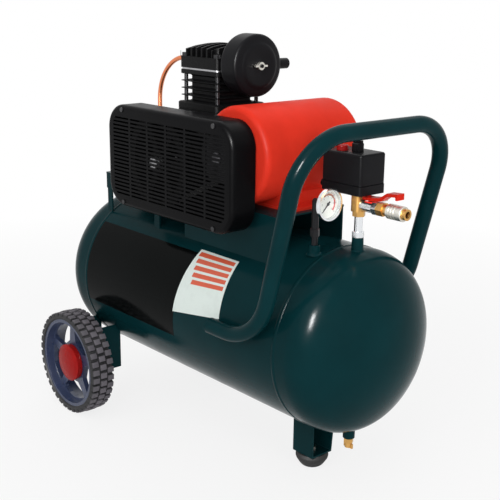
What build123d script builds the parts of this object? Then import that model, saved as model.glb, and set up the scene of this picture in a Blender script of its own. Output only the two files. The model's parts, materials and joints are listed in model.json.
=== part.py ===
from build123d import *
import math
import os

# Belt-driven air compressor on a wheeled receiver.
# Millimetres, +Z up. +X runs along the tank to the handle end, -Y is the belt guard side.
# The origin lies on the ground below the middle of the machine.

os.makedirs("parts", exist_ok=True)

# ---------------------------------------------------------------- clearances
run_gap = 0.3            # between pieces that move past each other
shaft_gap = 0.05         # radial clearance of a shaft in its bore

# ---------------------------------------------------------------- receiver
tank_radius = 150.0
tank_wall = 2.5
tank_half_straight = 285.0
dome_depth = 90.0
knuckle = 62.0           # rim radius of a dished end
dome_skirt = 22.0        # straight rim of a dished end, from the weld to the dome
weld_bead = 2.0
ground_clearance = 99.0
tank_axis_z = ground_clearance + tank_radius
tank_top = tank_axis_z + tank_radius
seam_x = tank_half_straight - dome_skirt

# ---------------------------------------------------------------- wheels and foot
wheel_radius = 98.0
wheel_width = 47.0
wheel_x = 42.0 - tank_half_straight
wheel_gap = 13.0         # tank side to bracket plate
rim_radius = 84.0
rim_depth = 6.0
hub_radius = 31.0
hub_cap_radius = 35.0
axle_radius = 6.0
bracket_plate = 4.0
bracket_half = 35.0
bracket_bottom = 77.0
bracket_reach = 51.0     # from the plate in to the tank
washer_thick = 2.4
bracket_y = tank_radius + wheel_gap
wheel_inner_y = bracket_y + washer_thick + 2 * run_gap
wheel_outer_y = wheel_inner_y + wheel_width

foot_x = tank_half_straight - 79.5
foot_half_x = 23.5
foot_half_y = 23.0
foot_plate = 3.0
foot_flare = 8.0
rubber_radius = 28.0
rubber_height = 25.0
rubber_flat = 10.0
foot_bolt_radius = 4.0

# ---------------------------------------------------------------- handle
tube_radius = 13.0
tube_wall = 1.6
handle_rise = 18.0       # lower run above the tank axis
handle_knee_x = tank_half_straight - 41.0
handle_tail_x = handle_knee_x - 114.0
handle_height = 323.0    # crossbar above the lower run
handle_lean = 0.26       # outward travel for each unit of height
knee_radius = 100.0
corner_radius = 85.0
handle_z = tank_axis_z + handle_rise
handle_y = math.sqrt((tank_radius + tube_radius + run_gap) ** 2 - handle_rise ** 2)

# ---------------------------------------------------------------- deck
deck_rise = 47.0
deck_plate = 3.0
deck_x0 = 8.0 - tank_half_straight
deck_y0 = -91.0
deck_y1 = 60.0
flange_depth = 30.0
deck_top = tank_top + deck_rise

# ---------------------------------------------------------------- belt drive
crank_x = -43.0
crank_height = 56.0
flywheel_radius = 80.0
flywheel_width = 22.0
belt_y = -128.0
belt_thick = 8.0
belt_width = 8.0
groove_depth = 10.5
motor_radius = 78.0
cowl_x0 = 37.0           # cowl's near side, clear of the intake filter
motor_x = cowl_x0 + motor_radius
motor_lift = 7.0         # cowl above the deck
pulley_radius = 38.0
pulley_width = 20.0
crank_z = deck_top + crank_height
motor_z = deck_top + motor_lift + motor_radius
deck_x1 = motor_x + motor_radius + 10.0
crank_shaft_radius = 10.0
motor_shaft_radius = 9.5

guard_left_margin = 51.0
guard_right_margin = 52.0
guard_over = 8.5         # guard edge beyond the flywheel rim
guard_corner = 42.0
guard_edge = 8.0
guard_sheet = 2.0
guard_front_y = -150.0
guard_back_y = -104.0
grille_inset = 16.0
slot_pitch = 6.6
slot_height = 3.0
slot_columns = 6
slot_web = 5.0

# ---------------------------------------------------------------- pump
case_half_x = 47.0
case_half_y = 50.0
case_wall = 5.0
case_height = 81.0       # crank axis to the cylinder seat
foot_thick = 8.0
nose_radius = 30.0
nose_end_y = -98.0
bore_radius = 24.0
spigot_radius = 28.0
spigot_depth = 17.0
pot_half = 51.0          # half width of fins and head
barrel_half = 40.0
base_flange = 12.0
base_half = 55.0
pot_height = 67.0        # cylinder seat to its top face
fin_thick = 4.0
fin_levels = (23.0, 35.0, 47.5)
top_flange = 8.0
plate_thick = 3.0
head_slab = 19.0
head_fins = 8
head_fin_thick = 4.0
head_crown = 42.0        # head's highest point above the valve plate
crown_drop = 7.5         # how much lower its sides are
stud_offset = 43.0
stud_radius = 3.5
throw = 20.0
rod_length = 108.0
pin_radius = 8.0
wrist_radius = 6.0
case_top = crank_z + case_height
pot_top = case_top + pot_height
head_z = pot_top + plate_thick

# ---------------------------------------------------------------- intake filter
filter_z = head_z + 9.0
filter_radius = 51.5
cover_radius = 47.0
filter_depth = 32.0
cover_depth = 14.0
neck_radius = 14.0
neck_length = 4.0
snorkel_radius = 9.0
snorkel_reach = 29.0
filter_x = crank_x + pot_half + neck_length

# ---------------------------------------------------------------- delivery pipe
pipe_radius = 4.0
pipe_y = -24.0
pipe_bend = 80.0
pipe_port_z = head_z + 14.0
check_x = -191.0
valve_hex = 24.0
check_height = 76.0

# ---------------------------------------------------------------- motor
cowl_sheet = 1.6
motor_front_y = -102.0
motor_back_y = 112.0
cowl_round = 12.0
cowl_opening = 42.0
motor_foot_y0 = -52.0
motor_foot_y1 = 62.0
motor_foot_plate = 4.0
rotor_radius = 40.0

# ---------------------------------------------------------------- outlet fittings
riser_x = tank_half_straight + 4.0
socket_radius = 9.0
socket_height = 20.0
pipe_thread_radius = 6.5
bush_height = 9.0
manifold_hex = 8.0
manifold_block = 29.0
manifold_half_x = 8.0
manifold_half_y = 12.0
switch_low_x = -56.0     # switch ends, from the riser
switch_high_x = 26.0
switch_half_y = 28.0
switch_base_height = 14.0
switch_height = 62.0
manifold_z = tank_top + 53.0
block_z = manifold_z + manifold_hex
switch_z = block_z + manifold_block
port_z = block_z + 10.5

gauge_x = riser_x - 13.0
gauge_y = -48.5
gauge_radius = 25.0
gauge_depth = 13.0
gauge_elbow_x = riser_x - 45.0
gauge_z = tank_top + 74.5

valve_length = 32.0
coupler_length = 55.0
coupler_bore = 5.25
coupler_depth = 20.0

drain_x = riser_x - 1.0


# ---------------------------------------------------------------- helpers
def facing(y):
    """Upright plane at y with local (x, z); extrusions run to -Y."""
    return Plane(origin=(0, y, 0), x_dir=(1, 0, 0), z_dir=(0, -1, 0))


def across(x):
    """Upright plane at x with local (y, z); extrusions run to +X."""
    return Plane(origin=(x, 0, 0), x_dir=(0, 1, 0), z_dir=(1, 0, 0))


def level(z):
    """Flat plane at z; extrusions run up."""
    return Plane.XY.offset(z)


def bar_y(radius, y0, y1, x, z, mode=Mode.ADD):
    """Round bar parallel to Y, in the part being built."""
    with Locations(Location((x, y0, z), (-90, 0, 0))):
        Cylinder(radius, y1 - y0, align=(Align.CENTER, Align.CENTER, Align.MIN), mode=mode)


def bar_x(radius, x0, x1, y, z, mode=Mode.ADD):
    """Round bar parallel to X, in the part being built."""
    with Locations(Location((x0, y, z), (0, 90, 0))):
        Cylinder(radius, x1 - x0, align=(Align.CENTER, Align.CENTER, Align.MIN), mode=mode)


def bar_z(radius, z0, z1, x, y, mode=Mode.ADD):
    """Round upright bar, in the part being built."""
    with Locations((x, y, z0)):
        Cylinder(radius, z1 - z0, align=(Align.CENTER, Align.CENTER, Align.MIN), mode=mode)


def block(x0, x1, y0, y1, z0, z1, mode=Mode.ADD):
    """Square block between two corners, in the part being built."""
    with Locations((x0, y0, z0)):
        Box(x1 - x0, y1 - y0, z1 - z0, align=(Align.MIN, Align.MIN, Align.MIN), mode=mode)


def hexagon(plane, points, flats, height):
    """Hexagonal prisms on a plane at the given local points."""
    with BuildSketch(plane) as outline:
        with Locations(*points):
            RegularPolygon(radius=flats / 2, side_count=6, major_radius=False)
    extrude(outline.sketch, amount=height)


def tank_cut(radius):
    """Takes the tank's barrel out of the part being built."""
    bar_x(radius, -tank_half_straight, tank_half_straight, 0, tank_axis_z, mode=Mode.SUBTRACT)


# ================================================================ receiver
# each end is dished: a knuckle arc at the rim runs into a flatter crown arc
crown_arc = (
    (dome_depth ** 2 + (tank_radius - knuckle) ** 2 - knuckle ** 2) / (2 * (dome_depth - knuckle))
)
crown_centre = tank_half_straight + dome_depth - crown_arc
crown_angle = math.degrees(math.atan2(tank_radius - knuckle, crown_arc - dome_depth))
with BuildPart() as tank:
    for inset, op in ((0.0, Mode.ADD), (tank_wall, Mode.SUBTRACT)):
        with BuildSketch(level(tank_axis_z)):
            with BuildLine():
                CenterArc((crown_centre, 0), crown_arc - inset, 0, crown_angle)
                CenterArc((tank_half_straight, tank_radius - knuckle), knuckle - inset, crown_angle,
                          90 - crown_angle)
                mirror(about=Plane.YZ)
                end = tank_half_straight + dome_depth - inset
                Line((-tank_half_straight, tank_radius - inset),
                     (tank_half_straight, tank_radius - inset))
                Line((-end, 0), (end, 0))
            make_face()
        revolve(axis=Axis((0, 0, tank_axis_z), (1, 0, 0)), mode=op)
    # raised bead of each round weld
    with BuildSketch(level(tank_axis_z)):
        with Locations((-seam_x, tank_radius - weld_bead / 2), (seam_x, tank_radius - weld_bead / 2)):
            Ellipse(2 * weld_bead, weld_bead)
    revolve(axis=Axis((0, 0, tank_axis_z), (1, 0, 0)))
    # threaded sockets: outlet riser, gauge, check valve, drain
    gauge_seat = tank_axis_z + math.sqrt(tank_radius ** 2 - gauge_y ** 2)
    bar_z(socket_radius, tank_top - 4, tank_top + socket_height, riser_x, 0)
    bar_z(socket_radius, gauge_seat - 4, gauge_seat + 14, gauge_elbow_x, gauge_y)
    check_seat = tank_axis_z + math.sqrt(tank_radius ** 2 - pipe_y ** 2)
    bar_z(15, check_seat - 4, check_seat + 10, check_x, pipe_y)
    bar_z(9, ground_clearance - 18, ground_clearance + 4, drain_x, 0)
    # their bores run through the wall
    bar_z(pipe_thread_radius, tank_top - 8, tank_top + socket_height, riser_x, 0, Mode.SUBTRACT)
    bar_z(5, gauge_seat - 8, gauge_seat + 14, gauge_elbow_x, gauge_y, Mode.SUBTRACT)
    bar_z(9, check_seat - 8, check_seat + 10, check_x, pipe_y, Mode.SUBTRACT)
    bar_z(5, ground_clearance - 18, ground_clearance + 8, drain_x, 0, Mode.SUBTRACT)
tank.part.label = "tank"
export_step(tank.part, "parts/tank.step")

# ================================================================ handle
handle_top_z = handle_z + handle_height
handle_top_x = handle_knee_x + handle_height * handle_lean
with BuildPart() as handle:
    with BuildLine() as handle_path:
        FilletPolyline(
            (handle_tail_x, -handle_y, handle_z),
            (handle_knee_x, -handle_y, handle_z),
            (handle_top_x, -handle_y, handle_top_z),
            (handle_top_x, handle_y, handle_top_z),
            (handle_knee_x, handle_y, handle_z),
            (handle_tail_x, handle_y, handle_z),
            radius=[knee_radius, corner_radius, corner_radius, knee_radius],
        )
    with BuildSketch(Plane(origin=handle_path.line @ 0, z_dir=handle_path.line % 0)):
        Circle(tube_radius)
        Circle(tube_radius - tube_wall, mode=Mode.SUBTRACT)
    sweep(path=handle_path.line)
    # flat discs welded into the two open ends
    for side in (-1, 1):
        bar_x(tube_radius - tube_wall, handle_tail_x, handle_tail_x + 3, side * handle_y, handle_z)
handle.part.label = "handle"
export_step(handle.part, "parts/handle.step")

# weld pads fill the corner between tube and tank
pads = ((handle_tail_x + 12, 0.0), (handle_tail_x + 72, 6.0))
pad_length = 16.0
with BuildPart() as handle_core:
    with BuildSketch(Plane(origin=handle_path.line @ 0, z_dir=handle_path.line % 0)):
        Circle(tube_radius)
    sweep(path=handle_path.line)
with BuildPart() as handle_welds:
    for side in (-1, 1):
        for x, rise in pads:
            with Locations((x, side * (tank_radius + 2), handle_z + rise)):
                Box(pad_length, 10, 14)
    tank_cut(tank_radius)
    add(handle_core.part, mode=Mode.SUBTRACT)
handle_welds.part.label = "handle_welds"
export_step(handle_welds.part, "parts/handle_welds.step")

# ================================================================ wheels
window_count = 5
window_inner = 38.0
window_outer = 74.0
window_reach = 37.0      # half width near the rim
hub_face_y = wheel_outer_y - 7.5
head_seat_y = hub_face_y - 12.0
for side, label in ((-1, "front"), (1, "rear")):
    with BuildPart() as wheel_bracket:
        # plate beside the wheel and two flanges that reach in to the tank
        lo, hi = sorted((side * bracket_y, side * (bracket_y - bracket_plate)))
        block(wheel_x - bracket_half, wheel_x + bracket_half, lo, hi, bracket_bottom, tank_axis_z - 85)
        lo, hi = sorted((side * (bracket_y - bracket_plate), side * (bracket_y - bracket_reach)))
        for x in (wheel_x - bracket_half, wheel_x + bracket_half - bracket_plate):
            block(x, x + bracket_plate, lo, hi, bracket_bottom, tank_axis_z - 85)
        tank_cut(tank_radius)
        bar_y(axle_radius, -bracket_y - 5, bracket_y + 5, wheel_x, wheel_radius, Mode.SUBTRACT)
    wheel_bracket.part.label = f"wheel_bracket_{label}"
    export_step(wheel_bracket.part, f"parts/wheel_bracket_{label}.step")

    def turned(points):
        """Solid of revolution about the axle from (radius, distance from the middle plane)."""
        with BuildSketch(level(wheel_radius)) as section:
            with BuildLine():
                Polyline(*[(wheel_x + r, side * y) for r, y in points], close=True)
            make_face()
        revolve(section.sketch, axis=Axis((wheel_x, 0, wheel_radius), (0, 1, 0)))

    with BuildPart() as wheel:
        inner, outer = wheel_inner_y, wheel_outer_y
        web_y = hub_face_y - 13
        bore = axle_radius + shaft_gap
        turned([(bore, inner), (hub_radius - 9, inner), (hub_radius - 5, web_y - 6),
                (rim_radius - rim_depth - 2, web_y - 4), (rim_radius - rim_depth, inner + 3),
                (rim_radius, inner + 3), (rim_radius, outer - 3),
                (rim_radius - rim_depth, outer - 3), (rim_radius - rim_depth - 2, web_y + 4),
                (hub_radius, web_y + 4), (hub_radius, hub_face_y), (15, hub_face_y),
                (15, head_seat_y), (bore, head_seat_y)])
        with BuildSketch(facing(0)) as windows:
            with Locations((wheel_x, wheel_radius)):
                with PolarLocations(0, window_count, start_angle=270):
                    Polygon((window_inner, -15), (window_outer - 12, -window_reach),
                            (window_outer - 4, -window_reach / 2), (window_outer, 0),
                            (window_outer - 4, window_reach / 2),
                            (window_outer - 12, window_reach), (window_inner, 15), align=None)
            fillet(windows.vertices(), 4)
        extrude(amount=outer + 1, both=True, mode=Mode.SUBTRACT)
    wheel.part.label = f"wheel_{label}"
    export_step(wheel.part, f"parts/wheel_{label}.step")

    with BuildPart() as tyre:
        turned([(rim_radius, inner + 3), (rim_radius + 3, inner), (wheel_radius - 7, inner + 1),
                (wheel_radius - 2, inner + 5), (wheel_radius, inner + 11),
                (wheel_radius, outer - 11), (wheel_radius - 2, outer - 5),
                (wheel_radius - 7, outer - 1), (rim_radius + 3, outer), (rim_radius, outer - 3)])
    tyre.part.label = f"tyre_{label}"
    export_step(tyre.part, f"parts/tyre_{label}.step")

    with BuildPart() as hub_cap:
        rim, crest = hub_cap_radius, hub_face_y + 5
        turned([(0, crest + 3), (rim * 0.45, crest + 2), (rim * 0.8, crest), (rim, crest - 3),
                (rim, crest - 6), (rim - 1, crest - 13), (hub_radius, crest - 13),
                (hub_radius, hub_face_y), (17, hub_face_y), (17, crest - 2), (0, crest - 0.5)])
    hub_cap.part.label = f"hub_cap_{label}"
    export_step(hub_cap.part, f"parts/hub_cap_{label}.step")

# axle bolts, washers and nuts, with the bolt that holds the rubber foot
nut_flats = 18.0
foot_plate_z = rubber_height
with BuildPart() as chassis_bolts:
    for side in (-1, 1):
        seat = head_seat_y + run_gap
        outward = Plane(origin=(wheel_x, side * seat, wheel_radius), x_dir=(1, 0, 0),
                        z_dir=(0, side, 0))
        hexagon(outward, [(0, 0)], nut_flats, 8)
        lo, hi = sorted((side * seat, side * (bracket_y - 16)))
        bar_y(axle_radius, lo, hi, wheel_x, wheel_radius)
        inward = Plane(origin=(wheel_x, side * (bracket_y - bracket_plate), wheel_radius),
                       x_dir=(1, 0, 0), z_dir=(0, -side, 0))
        hexagon(inward, [(0, 0)], nut_flats, 9)
        lo, hi = sorted((side * bracket_y, side * (bracket_y + washer_thick)))
        bar_y(2 * axle_radius, lo, hi, wheel_x, wheel_radius)
    hexagon(level(foot_plate_z + foot_plate), [(foot_x, 0)], 13, 5.5)
    bar_z(foot_bolt_radius, 9, foot_plate_z + foot_plate, foot_x, 0)
chassis_bolts.part.label = "chassis_bolts"
export_step(chassis_bolts.part, "parts/chassis_bolts.step")

# ================================================================ foot
with BuildPart() as foot_bracket:
    # channel open towards the handle end: a web, two flanges and a floor
    x0, x1 = foot_x - foot_half_x, foot_x + foot_half_x
    top = ground_clearance + 14
    lean_low, lean_high = (foot_half_y, foot_plate_z), (foot_half_y + foot_flare, top)
    with BuildSketch(across(x0)):
        with BuildLine():
            Polyline((-foot_half_y, foot_plate_z), lean_low, lean_high, (-foot_half_y, top),
                     close=True)
        make_face()
    extrude(amount=foot_plate)
    with BuildSketch(across(x0)):
        with BuildLine():
            Polyline(lean_low, lean_high, (lean_high[0] - foot_plate, top),
                     (foot_half_y - foot_plate, foot_plate_z), close=True)
        make_face()
    extrude(amount=x1 - x0)
    block(x0, x1, -foot_half_y, -foot_half_y + foot_plate, foot_plate_z, top)
    block(x0, x1, -foot_half_y, foot_half_y, foot_plate_z, foot_plate_z + foot_plate)
    tank_cut(tank_radius)
    bar_z(foot_bolt_radius, 0, foot_plate_z + 9, foot_x, 0, Mode.SUBTRACT)
foot_bracket.part.label = "foot_bracket"
export_step(foot_bracket.part, "parts/foot_bracket.step")

with BuildPart() as rubber_foot:
    with BuildSketch(Plane.XZ):
        with BuildLine():
            Line((foot_x, 0), (foot_x + rubber_flat, 0))
            Spline((foot_x + rubber_flat, 0), (foot_x + rubber_radius - 4, 10),
                   (foot_x + rubber_radius, 20), tangents=((1, 0), (0, 1)))
            Polyline((foot_x + rubber_radius, 20), (foot_x + rubber_radius - 2, rubber_height),
                     (foot_x, rubber_height), (foot_x, 0))
        make_face()
    revolve(axis=Axis((foot_x, 0, 0), (0, 0, 1)))
    bar_z(foot_bolt_radius, 9, rubber_height, foot_x, 0, Mode.SUBTRACT)
rubber_foot.part.label = "rubber_foot"
export_step(rubber_foot.part, "parts/rubber_foot.step")

# ================================================================ deck
leg_spans = ((deck_x0, deck_x0 + 20), (-120.0, -105.0), (-30.0, deck_x1))
with BuildPart() as deck:
    block(deck_x0, deck_x1, deck_y0, deck_y1, deck_top - deck_plate, deck_top)
    fillet(deck.edges().filter_by(Axis.Z), 3)
    for y in (deck_y0, deck_y1 - deck_plate):
        block(deck_x0 + 3, deck_x1 - 3, y, y + deck_plate, deck_top - flange_depth, deck_top - 0.5)
        for x0, x1 in leg_spans:
            block(max(x0, deck_x0 + 6), min(x1, deck_x1 - 3), y, y + deck_plate, tank_axis_z + 100,
                  deck_top - 1)
    tank_cut(tank_radius)
    # notch over the round weld
    bar_x(tank_radius + 2 * weld_bead, -seam_x - 8, -seam_x + 8, 0, tank_axis_z, Mode.SUBTRACT)
    # clearance for the check valve
    bar_z(18, deck_top - 10, deck_top + 5, check_x, pipe_y, Mode.SUBTRACT)
deck.part.label = "deck"
export_step(deck.part, "parts/deck.step")

# ================================================================ belt guard
guard_x0 = crank_x - flywheel_radius - guard_left_margin
guard_x1 = motor_x + guard_right_margin
guard_z0 = crank_z - flywheel_radius - guard_over
guard_z1 = crank_z + flywheel_radius + guard_over
guard_mid = ((guard_x0 + guard_x1) / 2, (guard_z0 + guard_z1) / 2)
guard_w = guard_x1 - guard_x0
guard_h = guard_z1 - guard_z0
standoffs = [(x, deck_top - 16) for x in (crank_x - 20, motor_x - 45)]
with BuildPart() as guard_back:
    with BuildSketch(facing(guard_back_y)):
        with Locations(guard_mid):
            RectangleRounded(guard_w, guard_h, guard_corner)
        with Locations((crank_x, crank_z)):
            Circle(crank_shaft_radius + 5, mode=Mode.SUBTRACT)
        with Locations((motor_x, motor_z)):
            Circle(motor_shaft_radius + 5, mode=Mode.SUBTRACT)
    extrude(amount=guard_sheet)
    with BuildSketch(facing(guard_back_y - guard_sheet)):
        with Locations(guard_mid):
            RectangleRounded(guard_w - 2 * guard_sheet, guard_h - 2 * guard_sheet,
                             guard_corner - guard_sheet)
            RectangleRounded(guard_w - 4 * guard_sheet, guard_h - 4 * guard_sheet,
                             guard_corner - 2 * guard_sheet, mode=Mode.SUBTRACT)
    extrude(amount=8)
    for x, z in standoffs:
        bar_y(7, guard_back_y, deck_y0, x, z)
guard_back.part.label = "guard_back"
export_step(guard_back.part, "parts/guard_back.step")

grille_w = guard_w - 2 * grille_inset
grille_h = guard_h - 2 * grille_inset
slot_rows = int(grille_h // slot_pitch)
slot_length = grille_w / slot_columns - slot_web
with BuildPart() as guard_cover:
    with BuildSketch(facing(guard_back_y - guard_sheet)):
        with Locations(guard_mid):
            RectangleRounded(guard_w, guard_h, guard_corner)
    extrude(amount=guard_back_y - guard_sheet - guard_front_y)
    fillet(guard_cover.faces().sort_by(Axis.Y)[0].edges(), guard_edge)
    offset(amount=-guard_sheet, openings=guard_cover.faces().sort_by(Axis.Y)[-1])
    with BuildSketch(facing(guard_front_y + 2 * guard_sheet)):
        with Locations(guard_mid):
            with GridLocations(grille_w / slot_columns, slot_pitch, slot_columns, slot_rows):
                Rectangle(slot_length, slot_height)
            RectangleRounded(grille_w, grille_h, guard_corner - grille_inset, mode=Mode.INTERSECT)
    extrude(amount=4 * guard_sheet, mode=Mode.SUBTRACT)
guard_cover.part.label = "guard_cover"
export_step(guard_cover.part, "parts/guard_cover.step")

guard_screw_spots = [(x, z) for x in (guard_x0 + guard_corner + 4, guard_x1 - guard_corner - 4)
                     for z in (guard_z0 + grille_inset / 2, guard_z1 - grille_inset / 2)]

# ================================================================ belt drive
belt_gap = run_gap
belt_root_big = flywheel_radius - groove_depth + belt_gap
belt_root_small = pulley_radius - groove_depth + belt_gap
with BuildPart() as v_belt:
    with BuildSketch(facing(belt_y + belt_width / 2)) as belt_face:
        with Locations((crank_x, crank_z)):
            Circle(belt_root_big + belt_thick)
        with Locations((motor_x, motor_z)):
            Circle(belt_root_small + belt_thick)
        make_hull()
    extrude(amount=belt_width)
    with BuildSketch(facing(belt_y + belt_width / 2)):
        with Locations((crank_x, crank_z)):
            Circle(belt_root_big)
        with Locations((motor_x, motor_z)):
            Circle(belt_root_small)
        make_hull()
    extrude(amount=belt_width, mode=Mode.SUBTRACT)
v_belt.part.label = "v_belt"
export_step(v_belt.part, "parts/v_belt.step")


def grooved_rim(x, z, radius, inner_radius, width):
    """Rim of a belt wheel with one V groove, in the part being built."""
    mouth, root = belt_width / 2 + 3.2, belt_width / 2 + 0.6
    half = width / 2
    with BuildSketch(level(z)) as section:
        with BuildLine():
            Polyline(
                (x + inner_radius, belt_y - half), (x + radius, belt_y - half),
                (x + radius, belt_y - mouth), (x + radius - groove_depth, belt_y - root),
                (x + radius - groove_depth, belt_y + root), (x + radius, belt_y + mouth),
                (x + radius, belt_y + half), (x + inner_radius, belt_y + half), close=True)
        make_face()
    revolve(section.sketch, axis=Axis((x, 0, z), (0, 1, 0)))


spoke_count = 6
hub_outer = 20.0
with BuildPart() as flywheel:
    rim_inner = flywheel_radius - groove_depth - 5
    grooved_rim(crank_x, crank_z, flywheel_radius, rim_inner, flywheel_width)
    bar_y(hub_outer, belt_y - 11, belt_y + 14, crank_x, crank_z)
    with BuildSketch(facing(belt_y + 4)):
        with Locations((crank_x, crank_z)):
            with PolarLocations(0, spoke_count):
                with Locations(((hub_outer + rim_inner) / 2, 0)):
                    Rectangle(rim_inner - hub_outer + 6, 12)
    extrude(amount=8)
    bar_y(crank_shaft_radius, belt_y - 20, belt_y + 20, crank_x, crank_z, Mode.SUBTRACT)
flywheel.part.label = "flywheel"
export_step(flywheel.part, "parts/flywheel.step")

with BuildPart() as motor_pulley:
    grooved_rim(motor_x, motor_z, pulley_radius, motor_shaft_radius, pulley_width)
motor_pulley.part.label = "motor_pulley"
export_step(motor_pulley.part, "parts/motor_pulley.step")

# ================================================================ pump
web_radius = 32.0
web_y0, web_y1 = -42.0, -30.0
cavity_radius = 38.0
cover_thick = 10.0
with BuildPart() as crankshaft:
    bar_y(crank_shaft_radius, belt_y - 14, web_y0, crank_x, crank_z)
    bar_y(web_radius, web_y0, web_y1, crank_x, crank_z)
    hexagon(facing(belt_y - 14), [(crank_x, crank_z)], 19, 5)
crankshaft.part.label = "crankshaft"
export_step(crankshaft.part, "parts/crankshaft.step")

foot_holes = [(crank_x + sx * 54, sy * 38) for sx in (-1, 1) for sy in (-1, 1)]
cover_holes = [(crank_x + 44 * math.cos(math.radians(a)), crank_z + 44 * math.sin(math.radians(a)))
               for a in range(30, 390, 60)]
with BuildPart() as crankcase:
    with BuildSketch(level(deck_top)):
        with Locations((crank_x, 0)):
            RectangleRounded(2 * case_half_x + 32, 2 * case_half_y - 8, 8)
    extrude(amount=foot_thick)
    with BuildSketch(level(deck_top + foot_thick)):
        with Locations((crank_x, 0)):
            RectangleRounded(2 * case_half_x, 2 * case_half_y, 12)
    extrude(amount=case_top - deck_top - foot_thick)
    # bearing nose towards the flywheel
    with BuildSketch(level(crank_z)):
        with BuildLine():
            Polyline((crank_x, -case_half_y), (crank_x + nose_radius + 6, -case_half_y),
                     (crank_x + nose_radius, -case_half_y - 10),
                     (crank_x + nose_radius - 6, nose_end_y), (crank_x, nose_end_y), close=True)
        make_face()
    revolve(axis=Axis((crank_x, 0, crank_z), (0, 1, 0)))
    # seat of the cylinder
    with BuildSketch(level(case_top - base_flange)):
        with Locations((crank_x, 0)):
            RectangleRounded(2 * base_half, 2 * base_half, 8)
    extrude(amount=base_flange)
    # boss for the rear cover
    bar_y(50, case_half_y - 12, case_half_y, crank_x, crank_z)
    # crank chamber, shaft bore and the opening for the cylinder
    bar_y(cavity_radius, -case_half_y + case_wall, case_half_y, crank_x, crank_z, Mode.SUBTRACT)
    bar_y(crank_shaft_radius + shaft_gap, nose_end_y, -case_half_y + case_wall, crank_x, crank_z,
          Mode.SUBTRACT)
    bar_z(spigot_radius, crank_z, case_top, crank_x, 0, Mode.SUBTRACT)
    for x, y in foot_holes:
        bar_z(stud_radius, deck_top, deck_top + foot_thick, x, y, Mode.SUBTRACT)
    for sx in (-1, 1):
        for sy in (-1, 1):
            bar_z(stud_radius, case_top - 12, case_top, crank_x + sx * stud_offset,
                  sy * stud_offset, Mode.SUBTRACT)
    for x, z in cover_holes:
        bar_y(2.5, case_half_y - 8, case_half_y, x, z, Mode.SUBTRACT)
    # cooling ribs on both sides
    for s in (-1, 1):
        for z in (deck_top + 70, deck_top + 84, deck_top + 98):
            lo, hi = sorted((crank_x + s * case_half_x, crank_x + s * (case_half_x + 5)))
            block(lo, hi, -case_half_y + 16, case_half_y - 16, z, z + 4)
crankcase.part.label = "crankcase"
export_step(crankcase.part, "parts/crankcase.step")

glass_z = crank_z - 22
with BuildPart() as crankcase_cover:
    bar_y(50, case_half_y, case_half_y + 5, crank_x, crank_z)
    bar_y(30, case_half_y + 5, case_half_y + cover_thick, crank_x, crank_z)
    chamfer(crankcase_cover.faces().sort_by(Axis.Y)[-1].edges(), 3)
    bar_y(12, case_half_y, case_half_y + 13, crank_x, glass_z)
    bar_y(8, case_half_y - 1, case_half_y + 14, crank_x, glass_z, Mode.SUBTRACT)
    for x, z in cover_holes:
        bar_y(2.5, case_half_y, case_half_y + 6, x, z, Mode.SUBTRACT)
crankcase_cover.part.label = "crankcase_cover"
export_step(crankcase_cover.part, "parts/crankcase_cover.step")

# sight glass in the cover, and the oil filler cap on the case's left side
filler = (crank_x - case_half_x, 18.0, deck_top + 54)
with BuildPart() as oil_plugs:
    bar_y(8, case_half_y + 2, case_half_y + 12, crank_x, glass_z)
    bar_x(9, filler[0] - 6, filler[0], filler[1], filler[2])
    bar_x(12, filler[0] - 16, filler[0] - 6, filler[1], filler[2])
oil_plugs.part.label = "oil_plugs"
export_step(oil_plugs.part, "parts/oil_plugs.step")

pin_z = crank_z - throw          # stored at the bottom of the stroke
wrist_z = pin_z + rod_length
with BuildPart() as connecting_rod:
    with BuildSketch(facing(7)):
        with Locations((crank_x, pin_z)):
            Circle(14)
        with Locations((crank_x, wrist_z)):
            Circle(9.5)
        with Locations((crank_x, (pin_z + wrist_z) / 2)):
            Rectangle(12, rod_length - 6)
        with Locations((crank_x, pin_z)):
            Circle(pin_radius, mode=Mode.SUBTRACT)
        with Locations((crank_x, wrist_z)):
            Circle(wrist_radius, mode=Mode.SUBTRACT)
    extrude(amount=14)
    bar_y(pin_radius, web_y1 + run_gap, 9, crank_x, pin_z)
connecting_rod.part.label = "connecting_rod"
export_step(connecting_rod.part, "parts/connecting_rod.step")

piston_below = 17.0
piston_above = 19.0
ring_levels = (14.5, 9.5, -12.0)
ring_height = 2.0
ring_depth = 1.5
with BuildPart() as piston:
    body = bore_radius - shaft_gap
    bar_z(body, wrist_z - piston_below, wrist_z + piston_above, crank_x, 0)
    bar_z(body - 4, wrist_z - piston_below, wrist_z + piston_above - 8, crank_x, 0, Mode.SUBTRACT)
    for y0, y1 in ((-body + 2, -8), (8, body - 2)):
        bar_y(wrist_radius + 3, y0, y1, crank_x, wrist_z)
    bar_y(wrist_radius, -body - 1, body + 1, crank_x, wrist_z, Mode.SUBTRACT)
    for h in ring_levels:
        with BuildSketch(level(wrist_z + h)):
            with Locations((crank_x, 0)):
                Circle(body + 2)
                Circle(body - ring_depth, mode=Mode.SUBTRACT)
        extrude(amount=ring_height, mode=Mode.SUBTRACT)
        with BuildSketch(level(wrist_z + h)):
            with Locations((crank_x, 0)):
                Circle(bore_radius)
                Circle(body - ring_depth, mode=Mode.SUBTRACT)
        extrude(amount=ring_height)
    bar_y(wrist_radius, -body + 3, body - 3, crank_x, wrist_z)
piston.part.label = "piston"
export_step(piston.part, "parts/piston.step")

stud_spots = [(crank_x + sx * stud_offset, sy * stud_offset) for sx in (-1, 1) for sy in (-1, 1)]


def pot_layer(z0, z1, half, corner):
    """One square layer of the cylinder or head, in the part being built."""
    with BuildSketch(level(z0)) as layer:
        with Locations((crank_x, 0)):
            RectangleRounded(2 * half, 2 * half, corner)
    extrude(layer.sketch, amount=z1 - z0)


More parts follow.
